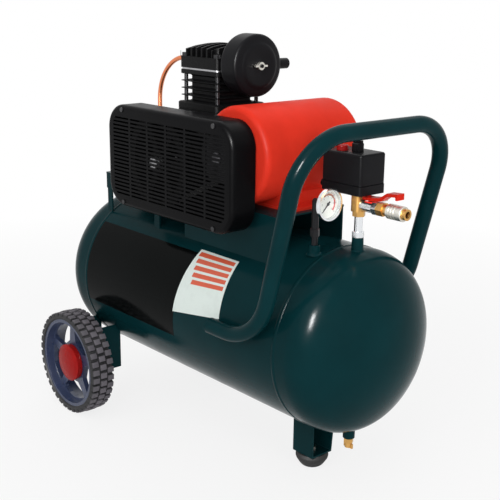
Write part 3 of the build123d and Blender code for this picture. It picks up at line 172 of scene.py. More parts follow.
class Finish(Shading):
    """One material, shaped by what feeds its Principled shader."""

    def __init__(self, name, **constants):
        self.material = bpy.data.materials.new(name)
        self.material.use_nodes = True
        super().__init__(self.material.node_tree)
        self.shader = self.nodes["Principled BSDF"]
        for socket, value in constants.items():
            self.shader.inputs[socket.replace("_", " ")].default_value = value
        self.place = self.node("ShaderNodeTexCoord", {}).outputs["Object"]

    def axes(self):
        """Object coordinates as three amounts."""
        parts = self.node("ShaderNodeSeparateXYZ", {"Vector": self.place}).outputs
        return [Amount(self, part) for part in parts]

    def noise(self, scale, detail=3.0, roughness=0.5, stretch=(1, 1, 1)):
        """Cloudy noise, drawn out along the axes where stretch is small."""
        place = self.place
        if stretch != (1, 1, 1):
            sockets = {"Vector": place, "Scale": stretch}
            place = self.node("ShaderNodeMapping", sockets).outputs[0]
        sockets = {"Vector": place, "Scale": scale, "Detail": detail, "Roughness": roughness}
        return self.amount("ShaderNodeTexNoise", sockets)

    def blend(self, factor, first, second):
        """One colour over another by a factor."""
        sockets = {0: factor, 6: first, 7: second}
        return self.node("ShaderNodeMix", sockets, data_type="RGBA").outputs[2]

    def colour(self, value):
        self.links.new(value, self.shader.inputs["Base Color"])

    def set(self, socket, amount):
        self.links.new(amount.socket, self.shader.inputs[socket])

    def bump(self, height, depth):
        """Raises the surface by height times depth, in metres."""
        made = self.node("ShaderNodeBump", {"Height": height, "Distance": depth, "Strength": 1.0})
        self.links.new(made.outputs[0], self.shader.inputs["Normal"])


def tint(red, green, blue):
    """A colour given as it looks on a screen, made linear."""
    def linear(v):
        return v / 12.92 if v <= 0.04045 else ((v + 0.055) / 1.055) ** 2.4
    return (linear(red), linear(green), linear(blue), 1.0)


def shade(colour, share):
    """A colour made lighter or darker by a share."""
    return tuple(min(1.0, c * share) for c in colour[:3]) + (1.0,)


# ---------------------------------------------------------------- finishes
def gloss_paint(name, colour, roughness=0.17, peel=0.00005, specular=0.035):
    """Sprayed and baked enamel: orange peel, a little dust and soft flow in its tone."""
    made = Finish(name, Specular_IOR_Level=specular)
    flow = made.noise(9.0, 4.0).steps(0.35, 0.7)
    dust = made.noise(240.0, 2.0).steps(0.66, 0.8)
    toned = made.blend(flow, shade(colour, 0.88), shade(colour, 1.12))
    made.colour(made.blend(dust * 0.12, toned, shade(colour, 1.9)))
    made.set("Roughness", roughness + made.noise(30.0, 4.0).steps(0.45, 0.8) * 0.1)
    made.bump(made.noise(420.0, 2.0), peel)
    return made.material


def satin_plastic(name, colour, roughness, grain=1400.0, depth=0.00005, specular=0.07):
    """Moulded plastic with a fine spark texture and a few rubbed spots."""
    made = Finish(name, Specular_IOR_Level=specular)
    rubbed = made.noise(38.0, 5.0).steps(0.52, 0.72)
    made.colour(made.blend(rubbed, colour, shade(colour, 1.22)))
    made.set("Roughness", roughness - rubbed * 0.1)
    made.bump(made.noise(grain, 2.0), depth)
    return made.material


def casting(name, colour):
    """Sand-cast iron under black paint: coarse grain, thin paint on the high spots."""
    made = Finish(name, Specular_IOR_Level=0.08)
    grain = made.noise(900.0, 4.0, 0.65)
    high = made.noise(55.0, 5.0).steps(0.55, 0.75)
    made.colour(made.blend(high * 0.5, colour, shade(colour, 2.0)))
    made.set("Roughness", 0.34 + grain * 0.25)
    made.bump(grain + made.noise(160.0, 3.0) * 1.6, 0.00022)
    return made.material


def worked_metal(name, colour, roughness, metallic=1.0, streak=(1, 1, 1), depth=0.00003):
    """Turned, drawn or plated metal: fine tool marks along one way and a slight tarnish."""
    made = Finish(name, Metallic=metallic)
    marks = made.noise(600.0, 3.0, 0.6, streak)
    tarnish = made.noise(45.0, 5.0).steps(0.45, 0.75)
    made.colour(made.blend(tarnish * 0.5, colour, shade(colour, 0.66)))
    made.set("Roughness", roughness + tarnish * 0.14 + marks * 0.08)
    made.bump(marks, depth)
    return made.material


def machine_hardware(name, bright, dark):
    """Plated low down, blacked on the pump and the belt guard: told apart by place."""
    made = Finish(name)
    x, y, z = made.axes()
    blackened = (z > PUMP_FOOT_Z) + (y < GUARD_Y)
    marks = made.noise(500.0, 3.0)
    worn = made.noise(60.0, 4.0).steps(0.5, 0.75)
    plated = made.blend(worn * 0.5, bright, shade(bright, 0.66))
    black = made.blend(worn * 0.5, dark, shade(dark, 2.0))
    made.colour(made.blend(blackened, plated, black))
    made.set("Metallic", 1.0 - blackened * 0.5)
    made.set("Roughness", 0.28 + marks * 0.12)
    made.bump(marks, 0.00002)
    return made.material


def laminations(name):
    """Stacked motor steel: thin sheets side by side along the shaft."""
    made = Finish(name, Metallic=0.9, Roughness=0.4)
    x, y, z = made.axes()
    sheets = (y * (TURN / MM)).sine()
    made.colour(made.blend(sheets.steps(-1, 1), tint(0.36, 0.35, 0.36), tint(0.56, 0.56, 0.58)))
    made.bump(sheets, 0.00006)
    return made.material


def tyre_rubber(name):
    """Hard moulded tyre rubber: black with mould bloom, and a painted highlight that makes the tops
    of the blocks grey.
    """
    made = Finish(name, Specular_IOR_Level=0.25)
    x, y, z = made.axes()
    across, along = x - WHEEL.x, z - WHEEL.z
    # the outermost rubber, the tops of the blocks, is painted lighter grey: a painted highlight
    # where light falls on them
    worn = (across * across + along * along).steps((93.8 * MM) ** 2, (97.5 * MM) ** 2)
    bloom = made.noise(26.0, 5.0, 0.6).steps(0.35, 0.75)
    low = made.blend(bloom, tint(0.11, 0.11, 0.12), tint(0.17, 0.17, 0.18))
    made.colour(made.blend(worn, low, tint(0.37, 0.355, 0.38)))
    made.set("Roughness", 0.5 + bloom * 0.25)
    made.bump(made.noise(700.0, 3.0), 0.00012)
    return made.material


def soft_rubber(name, colour):
    """Soft dull rubber with dust in its grain."""
    made = Finish(name, Roughness=0.7, Specular_IOR_Level=0.3)
    dust = made.noise(60.0, 5.0).steps(0.4, 0.8)
    made.colour(made.blend(dust * 0.7, colour, shade(colour, 2.0)))
    made.bump(made.noise(1200.0, 2.0), 0.00006)
    return made.material


def pleated_felt(name):
    """Folded filter paper round the intake axis, with painted shade in the troughs of its folds."""
    made = Finish(name, Roughness=0.95)
    x, y, z = made.axes()
    folds = ((z - INTAKE_Z).angle_from(y) * 60.0).sine()
    # the paper is painted darker in each fold's trough and lighter on its crest: painted shade in
    # the pleats
    made.colour(made.blend(folds.steps(-1, 1), tint(0.62, 0.58, 0.45), tint(0.90, 0.87, 0.76)))
    made.bump(folds + made.noise(900.0, 2.0) * 0.3, 0.0005)
    return made.material


def clear_cover(name):
    """Thin clear gauge glass, a little scratched."""
    made = Finish(name, IOR=1.45, Transmission_Weight=1.0)
    made.colour(made.blend(made.noise(20.0), tint(0.97, 0.99, 0.99), tint(1.0, 1.0, 1.0)))
    made.set("Roughness", made.noise(300.0, 2.0).steps(0.6, 0.9) * 0.06 + 0.02)
    return made.material


GREEN = tint(0.03, 0.175, 0.19)
BLACK = tint(0.075, 0.075, 0.085)
ZINC = tint(0.80, 0.79, 0.76)
FINISHES = {
    "green_paint": gloss_paint("green enamel", GREEN),
    "black_paint": gloss_paint("black enamel", tint(0.035, 0.035, 0.042), 0.34, 0.0001, 0.045),
    "orange_paint": gloss_paint("orange enamel", tint(0.87, 0.205, 0.135), 0.42),
    "red_paint": gloss_paint("red dip coating", tint(0.84, 0.16, 0.10), 0.3, 0.00004),
    "black_casting": casting("painted casting", tint(0.05, 0.05, 0.055)),
    "wheel_plastic": satin_plastic("wheel plastic", tint(0.19, 0.23, 0.34), 0.3, specular=0.45),
    "black_plastic": satin_plastic("black plastic", BLACK, 0.38),
    "red_plastic": satin_plastic("red plastic", tint(0.60, 0.09, 0.085), 0.3, 900.0, 0.00002),
    "tyre": tyre_rubber("tyre rubber"),
    "rubber": soft_rubber("foot rubber", tint(0.10, 0.10, 0.10)),
    "belt_rubber": soft_rubber("belt rubber", tint(0.09, 0.09, 0.09)),
    "zinc_steel": worked_metal("zinc plate", ZINC, 0.30, streak=(1, 1, 6)),
    "turned_steel": worked_metal("turned steel", tint(0.66, 0.66, 0.67), 0.25, streak=(1, 12, 1)),
    "core_steel": laminations("core steel"),
    "dark_steel": worked_metal("blackened steel", tint(0.13, 0.13, 0.14), 0.35, 0.7),
    "bare_aluminium": worked_metal("cast aluminium", tint(0.76, 0.76, 0.78), 0.42, depth=0.00012),
    "chrome": worked_metal("chrome plate", tint(0.90, 0.91, 0.92), 0.12, depth=0.000006),
    "brass": worked_metal("turned brass", tint(0.80, 0.62, 0.36), 0.25, streak=(8, 1, 1)),
    "copper": worked_metal("drawn copper", tint(0.86, 0.52, 0.36), 0.26, streak=(1, 1, 8)),
    "filter_felt": pleated_felt("pleated paper"),
    "clear_glass": clear_cover("gauge glass"),
}
NODE_FINISHES = {
    "motor_pulley": FINISHES["dark_steel"],
    "machine_bolts": machine_hardware("machine hardware", ZINC, tint(0.12, 0.12, 0.13)),
}


# ---------------------------------------------------------------- mesh helpers
def as_piece(name, mesh, slot, body, material=None, replaced=()):
    """Makes a mesh one of the object's pieces: painted, on its body, for its CAD nodes."""
    made = bpy.data.objects.new(name, mesh)
    bpy.context.scene.collection.objects.link(made)
    mesh.materials.clear()
    mesh.materials.append(material or FINISHES[slot])
    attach(made, body)
    if replaced:
        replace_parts(made, *replaced)
    return made


def shaded_mesh(name, shape, angle=32.0):
    """A mesh that is smooth but for edges that turn by more than angle degrees."""
    limit = math.radians(angle)
    for face in shape.faces:
        face.smooth = True
    for edge in shape.edges:
        edge.smooth = len(edge.link_faces) == 2 and edge.calc_face_angle(0.0) < limit
    mesh = bpy.data.meshes.new(name)
    shape.to_mesh(mesh)
    shape.free()
    return mesh


def to_mesh(name, shape, angle=32.0):
    """The same, with its faces turned outwards first."""
    bmesh.ops.recalc_face_normals(shape, faces=shape.faces[:])
    return shaded_mesh(name, shape, angle)


def cad_copy(node):
    """A merged copy of a CAD node's mesh, with its flat faces whole and its curves smooth."""
    shape = bmesh.new()
    shape.from_mesh(frame["nodes"][node].data)
    bmesh.ops.remove_doubles(shape, verts=shape.verts[:], dist=2e-6)
    return shaded_mesh(node + "_finished", shape)


def skin(shape, rings, closed=False):
    """Adds faces over rings of equal count; open ends are closed with a fan."""
    rows = [[shape.verts.new(point) for point in ring] for ring in rings]
    count = len(rows[0])
    for low, high in zip(rows, rows[1:] + rows[:1] if closed else rows[1:]):
        for i in range(count):
            j = (i + 1) % count
            shape.faces.new((low[i], low[j], high[j], high[i]))
    if not closed:
        for row in (rows[0], rows[-1]):
            centre = shape.verts.new(sum((v.co for v in row), Vector()) / count)
            for i in range(count):
                shape.faces.new((row[i], row[(i + 1) % count], centre))


def lathe(shape, profile, origin, axis, segments=64):
    """Turns a profile of (distance along the axis, radius) round an axis through origin."""
    axis = Vector(axis).normalized()
    side = axis.orthogonal().normalized()
    across = axis.cross(side)
    rings = []
    for along, radius in profile:
        centre = Vector(origin) + axis * along
        rings.append([centre + (side * math.cos(TURN * i / segments)
                                + across * math.sin(TURN * i / segments)) * radius
                      for i in range(segments)])
    skin(shape, rings)


def arc(centre, radius, start, end, count):
    """Points of an arc in a plane, by angles in degrees."""
    for i in range(count + 1):
        angle = math.radians(start + (end - start) * i / count)
        yield centre[0] + radius * math.cos(angle), centre[1] + radius * math.sin(angle)


# ---------------------------------------------------------------- repeated parts by Geometry Nodes
def circle_tree():
    """Copies of one part on an arc about +Y, each with its own +X pointing away from the middle."""
    tree = bpy.data.node_groups.new("parts round an axle", "GeometryNodeTree")
    inputs = {"Part": "Object", "Count": "Int", "Radius": "Float", "Start": "Float",
              "Step": "Float", "Material": "Material"}
    for label, kind in inputs.items():
        tree.interface.new_socket(label, in_out="INPUT", socket_type="NodeSocket" + kind)
    tree.interface.new_socket("Parts", in_out="OUTPUT", socket_type="NodeSocketGeometry")
    add = tree.nodes.new
    link = tree.links.new
    given = add("NodeGroupInput").outputs

    def maths(operation, first, second=None):
        made = add("ShaderNodeMath")
        made.operation = operation
        link(first, made.inputs[0])
        if isinstance(second, bpy.types.NodeSocket):
            link(second, made.inputs[1])
        elif second is not None:
            made.inputs[1].default_value = second
        return made.outputs[0]

    index = add("GeometryNodeInputIndex").outputs[0]
    angle = maths("ADD", maths("MULTIPLY", index, given["Step"]), given["Start"])
    spot = add("ShaderNodeCombineXYZ")
    link(maths("MULTIPLY", maths("COSINE", angle), given["Radius"]), spot.inputs["X"])
    link(maths("MULTIPLY", maths("SINE", angle), given["Radius"]), spot.inputs["Z"])
    points = add("GeometryNodePoints")
    link(given["Count"], points.inputs["Count"])
    link(spot.outputs[0], points.inputs["Position"])
    euler = add("ShaderNodeCombineXYZ")
    link(maths("MULTIPLY", angle, -1.0), euler.inputs["Y"])
    turned = add("FunctionNodeEulerToRotation")
    link(euler.outputs[0], turned.inputs[0])
    part = add("GeometryNodeObjectInfo")
    link(given["Part"], part.inputs["Object"])
    copies = add("GeometryNodeInstanceOnPoints")
    link(points.outputs[0], copies.inputs["Points"])
    link(part.outputs["Geometry"], copies.inputs["Instance"])
    link(turned.outputs[0], copies.inputs["Rotation"])
    real = add("GeometryNodeRealizeInstances")
    link(copies.outputs[0], real.inputs[0])
    paint = add("GeometryNodeSetMaterial")
    link(real.outputs[0], paint.inputs["Geometry"])
    link(given["Material"], paint.inputs["Material"])
    link(paint.outputs[0], add("NodeGroupOutput").inputs[0])
    return tree


CIRCLE = circle_tree()


def round_axle(part, count, radius, start, step, material):
    """The mesh of count copies of a part round +Y, from the tree above; angles are in radians."""
    host = bpy.data.objects.new("host", bpy.data.meshes.new("host"))
    bpy.context.scene.collection.objects.link(host)
    modifier = host.modifiers.new("parts", "NODES")
    modifier.node_group = CIRCLE
    values = {"Part": part, "Count": count, "Radius": radius, "Start": start, "Step": step,
              "Material": material}
    for item in CIRCLE.interface.items_tree:
        if item.in_out == "INPUT":
            modifier[item.identifier] = values[item.name]
    graph = bpy.context.evaluated_depsgraph_get()
    mesh = bpy.data.meshes.new_from_object(host.evaluated_get(graph), depsgraph=graph)
    host.modifiers.remove(modifier)
    bpy.data.objects.remove(host)
    return mesh


def tapered_block(base, top, depth, soften=0.0):
    """An unseen block to be copied, its foot at x 0 and its top at x depth; sizes are (y, z)."""
    shape = bmesh.new()
    rings = [[Vector((x, sy * size[0] / 2, sz * size[1] / 2))
              for sy, sz in ((-1, -1), (1, -1), (1, 1), (-1, 1))]
             for x, size in ((0.0, base), (depth, top))]
    corners = [[shape.verts.new(p) for p in ring] for ring in rings]
    for i in range(4):
        j = (i + 1) % 4
        shape.faces.new((corners[0][i], corners[0][j], corners[1][j], corners[1][i]))
    shape.faces.new(corners[0])
    shape.faces.new(corners[1])
    if soften:
        crown = [e for e in shape.edges if any(v in corners[1] for v in e.verts)]
        bmesh.ops.bevel(shape, geom=crown, offset=soften, segments=2, profile=0.6, affect="EDGES")
    return bpy.data.objects.new("template", to_mesh("template", shape))


def joined(name, meshes):
    """One mesh out of several (mesh, matrix) pairs."""
    shape = bmesh.new()
    for mesh, matrix in meshes:
        extra = mesh.copy()
        extra.transform(matrix)
        shape.from_mesh(extra)
        bpy.data.meshes.remove(extra)
    return shaded_mesh(name, shape)


# ---------------------------------------------------------------- receiver
def dished_profile():
    """Right half of the receiver's outline as (x, radius), from the weld line to the pole."""
    inner = TANK_RADIUS - KNUCKLE
    crown = (DOME_DEPTH ** 2 + inner ** 2 - KNUCKLE ** 2) / (2 * (DOME_DEPTH - KNUCKLE))
    middle = TANK_STRAIGHT + DOME_DEPTH - crown
    meet = math.degrees(math.atan2(inner, TANK_STRAIGHT - middle))
    rim = list(arc((TANK_STRAIGHT, inner), KNUCKLE, 90, meet, 16))
    cap = list(arc((middle, 0), crown, meet, 1, 14))
    return rim + cap[1:]


def receiver():
    """The painted shell: a smooth barrel between two dished ends."""
    end = dished_profile()
    barrel = [(x * SEAM_X / 6, TANK_RADIUS) for x in range(-6, 7)]
    profile = [(-x, r) for x, r in reversed(end)] + barrel + end
    shape = bmesh.new()
    lathe(shape, profile, (0, 0, TANK_AXIS_Z), (1, 0, 0), 160)
    as_piece("receiver_shell", to_mesh("receiver_shell", shape, 40), "green_paint", ROOT,
             replaced=["tank"])


def receiver_sockets():
    """Forged bosses for the riser, gauge, check valve and drain, each with its weld fillet."""
    shape = bmesh.new()
    # x, y, height of the seat, radius, and how far the fillet dips into the shell, in mm
    seats = ((289, 0, 419, 9, 4), (244, -48.5, 404.9, 9, 1.5), (-191, -24, 404.1, 15, 1.5))
    for x, y, seat, radius, dip in seats:
        low = math.sqrt(TANK_RADIUS ** 2 - (y * MM) ** 2) + TANK_AXIS_Z - dip * MM
        height = seat * MM - low
        profile = [(0, (radius + 4) * MM), (2.0 * MM, (radius + 3.2) * MM),
                   (4.5 * MM, (radius + 0.6) * MM), (height - 1.2 * MM, radius * MM),
                   (height, (radius - 1.2) * MM), (height, (radius - 3) * MM)]
        lathe(shape, profile, (x * MM, y * MM, low), (0, 0, 1), 48)
    drain = [(0, 8.8 * MM), (1 * MM, 9.8 * MM), (17 * MM, 10 * MM), (22 * MM, 14 * MM)]
    lathe(shape, drain, (288 * MM, 0, 81 * MM), (0, 0, 1), 48)
    as_piece("receiver_sockets", to_mesh("receiver_sockets", shape), "green_paint", ROOT)


def receiver_welds():
    """Round seams of the two dished ends, with the small overlapping ripples of their passes."""
    steps, ripples, sides = 900, 150, 10
    width, height = 3.6 * MM, 1.0 * MM
    shape = bmesh.new()
    for x in (-SEAM_X, SEAM_X):
        rings = []
        for i in range(steps):
            turn = TURN * i / steps
            out = Vector((0, math.cos(turn), math.sin(turn)))
            spot = Vector((x, 0, TANK_AXIS_Z)) + out * TANK_RADIUS
            rise = height * (0.82 + 0.18 * abs(math.cos(turn * ripples / 2)))
            rings.append([spot + out * (rise * math.sin(a)) + Vector((width * math.cos(a), 0, 0))
                          for a in (TURN * k / sides for k in range(sides))])
        skin(shape, rings, closed=True)
    as_piece("receiver_seams", to_mesh("receiver_seams", shape, 60), "green_paint", ROOT)


def wrapped_sheet(shape, corners, lift, grain=24):
    """A thin sheet laid on the barrel.

    Corners are (x in mm, degrees above level), clockwise from the top left one.
    """
    top_left, top_right, low_right, low_left = [Vector(c) for c in corners]
    sides = []
    for radius in (TANK_RADIUS + lift, TANK_RADIUS + 0.02 * MM):
        grid = []
        for i in range(grain + 1):
            left = top_left.lerp(low_left, i / grain)
            right = top_right.lerp(low_right, i / grain)
            line = []
            for j in range(grain + 1):
                x, angle = left.lerp(right, j / grain)
                turn = math.radians(angle)
                line.append(shape.verts.new((x * MM, -radius * math.cos(turn),
                                             TANK_AXIS_Z + radius * math.sin(turn))))
            grid.append(line)
        for low, high in zip(grid, grid[1:]):
            for j in range(grain):
                shape.faces.new((low[j], high[j], high[j + 1], low[j + 1]))
        sides.append(grid)
    outer, inner = sides
    rim = [(0, j) for j in range(grain)] + [(i, grain) for i in range(grain)]
    rim += [(grain, grain - j) for j in range(grain)] + [(grain - i, 0) for i in range(grain)]
    for (a, b), (c, d) in zip(rim, rim[1:] + rim[:1]):
        shape.faces.new((outer[a][b], outer[c][d], inner[c][d], inner[a][b]))


def printed_sheet(name, colour):
    """Glossy label film with a faint unevenness."""
    made = Finish(name, Specular_IOR_Level=0.4)
    worn = made.noise(70.0, 5.0).steps(0.5, 0.8)
    made.colour(made.blend(worn * 0.5, colour, shade(colour, 0.86)))
    made.set("Roughness", 0.3 + worn * 0.15)
    made.bump(made.noise(180.0, 2.0), 0.00004)
    return made.material


def label():
    """Pale data label with plain colour bars, and nothing to read."""
    shape = bmesh.new()
    wrapped_sheet(shape, LABEL_CORNERS, 0.25 * MM)
    as_piece("receiver_label", to_mesh("receiver_label", shape), "black_paint", ROOT,
             printed_sheet("label film", tint(0.86, 0.90, 0.88)))
    top_left, top_right, low_right, low_left = [Vector(c) for c in LABEL_CORNERS]

    def on_label(across, down):
        return top_left.lerp(low_left, down).lerp(top_right.lerp(low_right, down), across)

    # in shares of the label's width and height
    bars = bmesh.new()
    right, thick = 0.95, 0.07
    for row in range(5):
        left = 0.05 + 0.045 * row
        top = 0.04 + 0.11 * row
        box = (left, top), (right, top), (right, top + thick), (left, top + thick)
        wrapped_sheet(bars, [on_label(*spot) for spot in box], 0.35 * MM, 12)
    as_piece("receiver_label_bars", to_mesh("receiver_label_bars", bars), "red_paint", ROOT,
             printed_sheet("bar print", tint(0.82, 0.34, 0.22)))


def side_film():
    """Glossy black film along the barrel, left of the label and bare."""
    shape = bmesh.new()
    wrapped_sheet(shape, FILM_CORNERS, 0.2 * MM, 40)
    as_piece("receiver_film", to_mesh("receiver_film", shape), "black_paint", ROOT,
             gloss_paint("black film", tint(0.03, 0.04, 0.04), 0.12, 0.00001, 0.035))


# ---------------------------------------------------------------- wheels
def tread(end, side):
    """A tyre with three staggered rows of chunky blocks on a round carcass."""
    middle = WHEEL + Vector((0, side * TYRE_Y, 0))
    steps, count = 120, 38
    shape = bmesh.new()
    # the carcass's outline, as (place across the tyre, radius), in mm
    profile = [(-21, 84.2), (-23.1, 86.4), (-22.7, 88.4), (-21.1, 91), (-13, 92.6), (0, 93),
               (13, 92.6), (21.1, 91), (22.7, 88.4), (23.1, 86.4), (21, 84.2), (20, 83.8),
               (-20, 83.8)]
    rings = []
    for i in range(steps):
        turn = TURN * i / steps
        out = Vector((math.cos(turn), 0, math.sin(turn)))
        rings.append([middle + Vector((0, y * MM, 0)) + out * (r * MM) for y, r in profile])
    skin(shape, rings, closed=True)
    parts = [(to_mesh("carcass", shape, 40), Matrix.Identity(4))]
    crown = tapered_block((13.6 * MM, 11.8 * MM), (12 * MM, 10 * MM), 8.6 * MM, 0.7 * MM)
    shoulder = tapered_block((14.6 * MM, 11.8 * MM), (12.4 * MM, 10 * MM), 11.2 * MM, 0.7 * MM)
    step = TURN / count
    for offset, block, radius, start in ((0, crown, 89.2, 0), (-15.2, shoulder, 85.6, step / 2),
                                         (15.2, shoulder, 85.6, step / 2)):
        blocks = round_axle(block, count, radius * MM, start, step, FINISHES["tyre"])
        parts.append((blocks, Matrix.Translation(middle + Vector((0, offset * MM, 0)))))
    node = f"tyre_{end}"
    as_piece(f"{node}_tread", joined("tyre_tread", parts), "tyre", BODY_OF[node], replaced=[node])


# ---------------------------------------------------------------- pump
def square_ring(z, half, corner, steps=5):
    """A level ring: a square with round corners about the pump's axis."""
    ring = []
    for quarter, (right, far) in enumerate(((1, 1), (-1, 1), (-1, -1), (1, -1))):
        centre = (right * (half - corner), far * (half - corner))
        for x, y in arc(centre, corner, 90 * quarter, 90 * quarter + 90, steps):
            ring.append(Vector((PUMP_X + x * MM, y * MM, z * MM)))
    return ring


def finned_cylinder():
    """Cast cylinder: each fin runs out to a thin rounded edge, as the casting mould leaves it."""
    seat, top = 583.0, 650.0
    # rings from the seat up, each as (height, half width, corner radius), in mm
    profile = [(seat, 40, 8), (seat, 54, 8), (seat + 1, 55, 8), (seat + 10.5, 55, 8),
               (seat + 12, 53.5, 8), (seat + 13.5, 42, 13), (seat + 15.5, 40, 14)]
    for level in (23.0, 35.0, 47.5):
        z = seat + level
        profile += [(z - 3.4, 40, 14), (z - 2.5, 41.5, 13), (z - 1.5, 46, 9), (z - 0.6, 50.6, 6),
                    (z, 51, 6), (z + 0.6, 50.6, 6), (z + 1.5, 46, 9), (z + 2.5, 41.5, 13),
                    (z + 3.4, 40, 14)]
    profile += [(top - 11, 40, 14), (top - 9, 42, 13), (top - 8, 49.5, 6), (top - 7.2, 51, 6),
                (top - 0.8, 51, 6), (top, 50.2, 6), (top, 40, 14)]
    shape = bmesh.new()
    skin(shape, [square_ring(z, half, corner) for z, half, corner in profile])
    as_piece("pump_cylinder", to_mesh("pump_cylinder", shape, 38), "black_casting", ROOT,
             replaced=["cylinder"])


# ---------------------------------------------------------------- gauge
def dial_paper():
    """Dial print: white field and a coloured warning arc over the top of the range."""
    made = Finish("dial print", Roughness=0.5)
    x, y, z = made.axes()
    right, up = y - GAUGE.y, z - GAUGE.z
    spot = made.node("ShaderNodeCombineXYZ", {"X": right, "Y": up}).outputs[0]
    reach = made.amount("ShaderNodeVectorMath", {0: spot}, "Value", operation="LENGTH")
    turn = up.angle_from(right)
    first, second, last = (math.radians(v) for v in (126, 20, -45))
    band = (reach > 13.1 * MM) * (reach < 16.2 * MM)
    warm = band * (turn < first) * (turn > second)
    hot = band * (turn < second) * (turn > last)
    paper = made.blend(made.noise(90.0), tint(0.93, 0.93, 0.90), tint(0.97, 0.97, 0.95))
    coloured = made.blend(warm, paper, tint(0.62, 0.36, 0.22))
    made.colour(made.blend(hot, coloured, tint(0.80, 0.16, 0.12)))
    return made.material


def dark_print():
    """Printing ink of the dial's ticks and numbers."""
    made = Finish("black print", Roughness=0.5)
    made.colour(made.blend(made.noise(200.0), tint(0.08, 0.08, 0.09), tint(0.15, 0.15, 0.16)))
    return made.material


def lettering(text, size):
    """A flat mesh of a short text, centred, in the XY plane."""
    curve = bpy.data.curves.new("text", "FONT")
    curve.body = text
    curve.size = size
    curve.extrude = 0.03 * MM
    curve.align_x = "CENTER"
    curve.align_y = "CENTER"
    writing = bpy.data.objects.new("text", curve)
    bpy.context.scene.collection.objects.link(writing)
    graph = bpy.context.evaluated_depsgraph_get()
    mesh = bpy.data.meshes.new_from_object(writing.evaluated_get(graph), depsgraph=graph)
    bpy.data.objects.remove(writing)
    return mesh


def facing_x(spot):
    """Stands a flat mesh up so that it is read from +X."""
    return Matrix.Translation(spot) @ Matrix(((0, 0, 1, 0), (1, 0, 0, 0), (0, 1, 0, 0),
                                              (0, 0, 0, 1)))


def gauge_dial():
    """Dial disc, its printed ticks and its numbers, read from +X."""
    face = Vector((DIAL_X + 0.3 * MM, GAUGE.y, GAUGE.z))
    disc = bmesh.new()
    lathe(disc, [(-0.2 * MM, 22.2 * MM), (0.25 * MM, 22.2 * MM), (0.3 * MM, 22.1 * MM)],
          (DIAL_X, GAUGE.y, GAUGE.z), (1, 0, 0), 72)
    as_piece("gauge_dial", to_mesh("gauge_dial", disc), "black_plastic", ROOT, dial_paper())

    ink = dark_print()
    start, sweep = math.radians(-45), math.radians(270)
    on_dial = (Matrix.Translation(face) @ Matrix.Rotation(-TURN / 4, 4, "Z")
               @ Matrix.Diagonal((-1, 1, 1, 1)))
    parts = []
    # count, thickness, width and length of a tick, and the radius it starts at, in mm
    for count, thick, wide, long, radius in ((61, 0.10, 0.22, 1.7, 16.9),
                                             (13, 0.10, 0.5, 3.1, 16.3)):
        size = (thick * MM, wide * MM)
        tick = tapered_block(size, size, long * MM)
        ticks = round_axle(tick, count, radius * MM, start, sweep / (count - 1), ink)
        parts.append((ticks, on_dial))
    as_piece("gauge_ticks", joined("gauge_ticks", parts), "black_plastic", ROOT, ink)

    numbers = []
    for i in range(7):
        angle = math.radians(225 - 45 * i)
        spot = face + Vector((0, math.cos(angle), math.sin(angle))) * (11.9 * MM)
        numbers.append((lettering(str(2 * i), 3.6 * MM), facing_x(spot)))
    as_piece("gauge_numbers", joined("gauge_numbers", numbers), "black_plastic", ROOT, ink)


# ---------------------------------------------------------------- frame pieces kept in shape
def kept_shapes():
    """Every node that no piece above stands for, with its edges eased where it is plain enough."""
    eased = {"deck": 0.7, "foot_bracket": 0.5, "wheel_bracket_front": 0.6,
             "wheel_bracket_rear": 0.6, "switch_base": 0.8, "switch_cover": 1.2,
             "manifold": 0.5, "motor_base": 0.5}  # widths in mm
    stood_for = {node for made in bpy.data.objects for node in made.get("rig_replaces", [])}
    for node, body in BODY_OF.items():
        if node in stood_for:
            continue
        made = as_piece(node + "_finish", cad_copy(node), SLOT_OF[node], body,
                        NODE_FINISHES.get(node), [node])
        if node in eased:
            bevel = made.modifiers.new("eased edges", "BEVEL")
            bevel.width = eased[node] * MM
            bevel.segments = 2
            bevel.limit_method = "ANGLE"
            bevel.angle_limit = math.radians(50)
            bevel.harden_normals = False


# ---------------------------------------------------------------- studio
def pale_floor():
    """A floor that lights the object softly, keeps its shadow and fades to white far away."""
    reach = 6.0
    shape = bmesh.new()
    shape.faces.new([shape.verts.new((x, y, -0.5 * MM)) for x, y in
                     ((-reach, -reach), (reach, -reach), (reach, reach), (-reach, reach))])
    mesh = bpy.data.meshes.new("floor")
    shape.to_mesh(mesh)
    shape.free()
    floor = bpy.data.objects.new("floor", mesh)
    bpy.context.scene.collection.objects.link(floor)
    made = Finish("pale floor", Roughness=0.9)
    made.colour(made.blend(made.noise(4.0), tint(0.87, 0.87, 0.87), tint(0.90, 0.90, 0.90)))
    x, y, z = made.axes()
    away = (x * x + y * y).steps(0.5, 3.2)
    share = made.sees_white() * (0.82 + away * 0.18)
    glow = made.node("ShaderNodeEmission", {"Color": (1, 1, 1, 1), "Strength": 1.0}).outputs[0]
    sockets = {0: share, 1: made.shader.outputs[0], 2: glow}
    surface = made.node("ShaderNodeMixShader", sockets).outputs[0]
    made.links.new(surface, made.nodes["Material Output"].inputs["Surface"])
    mesh.materials.append(made.material)


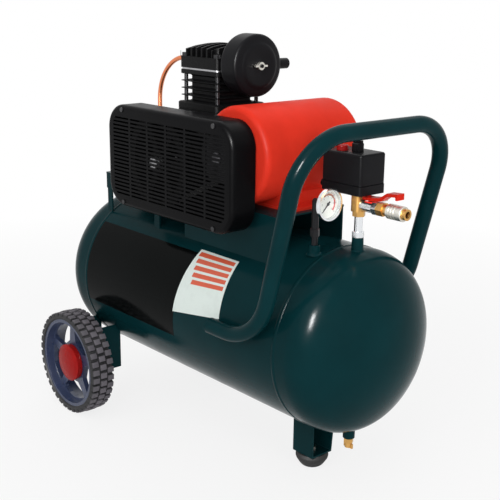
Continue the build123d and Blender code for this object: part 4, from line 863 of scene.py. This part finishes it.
def white_room():
    """White to look at or to mirror, and dimmer as a light."""
    world = bpy.data.worlds.new("white room")
    bpy.context.scene.world = world
    world.use_nodes = True
    room = Shading(world.node_tree)
    back = room.nodes["Background"]
    back.inputs["Color"].default_value = (1, 1, 1, 1)
    as_light = 0.45
    level = room.sees_white() * (1 - as_light) + as_light
    room.links.new(level.socket, back.inputs["Strength"])


def lamp(name, place, width, height, power):
    """A soft rectangular lamp that points at the middle of the object."""
    data = bpy.data.lights.new(name, "AREA")
    data.shape = "RECTANGLE"
    data.size = width
    data.size_y = height
    data.energy = power
    made = bpy.data.objects.new(name, data)
    made.location = place
    aim = Vector((0, 0, 0.4)) - Vector(place)
    made.rotation_euler = aim.to_track_quat("-Z", "Y").to_euler()
    bpy.context.scene.collection.objects.link(made)
    return made


def studio():
    """Pale floor, white surroundings, three soft lamps and a narrow one for a highlight."""
    pale_floor()
    white_room()
    lamp("key", (0.9, -2.2, 2.4), 2.8, 2.8, 42.0)
    lamp("fill", (2.8, -0.9, 0.8), 2.4, 2.0, 38.0).visible_glossy = False
    lamp("top", (-0.6, 0.9, 2.8), 2.6, 2.6, 20.0)
    lamp("glint", (1.062, -1.708, 1.283), 0.24, 0.6, 200.0).visible_diffuse = False


def camera():
    """A long lens to the right of the handle end, a little above the receiver."""
    azimuth, elevation, roll = (math.radians(v) for v in (48.79, 15.38, 0.72))
    back = Vector((math.sin(azimuth) * math.cos(elevation),
                   -math.cos(azimuth) * math.cos(elevation), math.sin(elevation)))
    right = Vector((math.cos(azimuth), math.sin(azimuth), 0))
    up = back.cross(right)
    turned_right = right * math.cos(roll) + up * math.sin(roll)
    turned_up = up * math.cos(roll) - right * math.sin(roll)
    data = bpy.data.cameras.new("camera")
    data.lens = 68.33
    data.sensor_width = 36
    data.clip_start = 0.05
    data.clip_end = 50
    made = bpy.data.objects.new("camera", data)
    bpy.context.scene.collection.objects.link(made)
    matrix = Matrix((turned_right, turned_up, back)).transposed().to_4x4()
    matrix.translation = Vector((1.2416, -1.0540, 0.7839))
    made.matrix_world = matrix
    bpy.context.scene.camera = made


camera()
studio()
receiver()
receiver_sockets()
receiver_welds()
label()
side_film()
for end, side in (("front", -1), ("rear", 1)):
    tread(end, side)
finned_cylinder()
gauge_dial()
kept_shapes()
bpy.context.scene.view_settings.view_transform = "Standard"
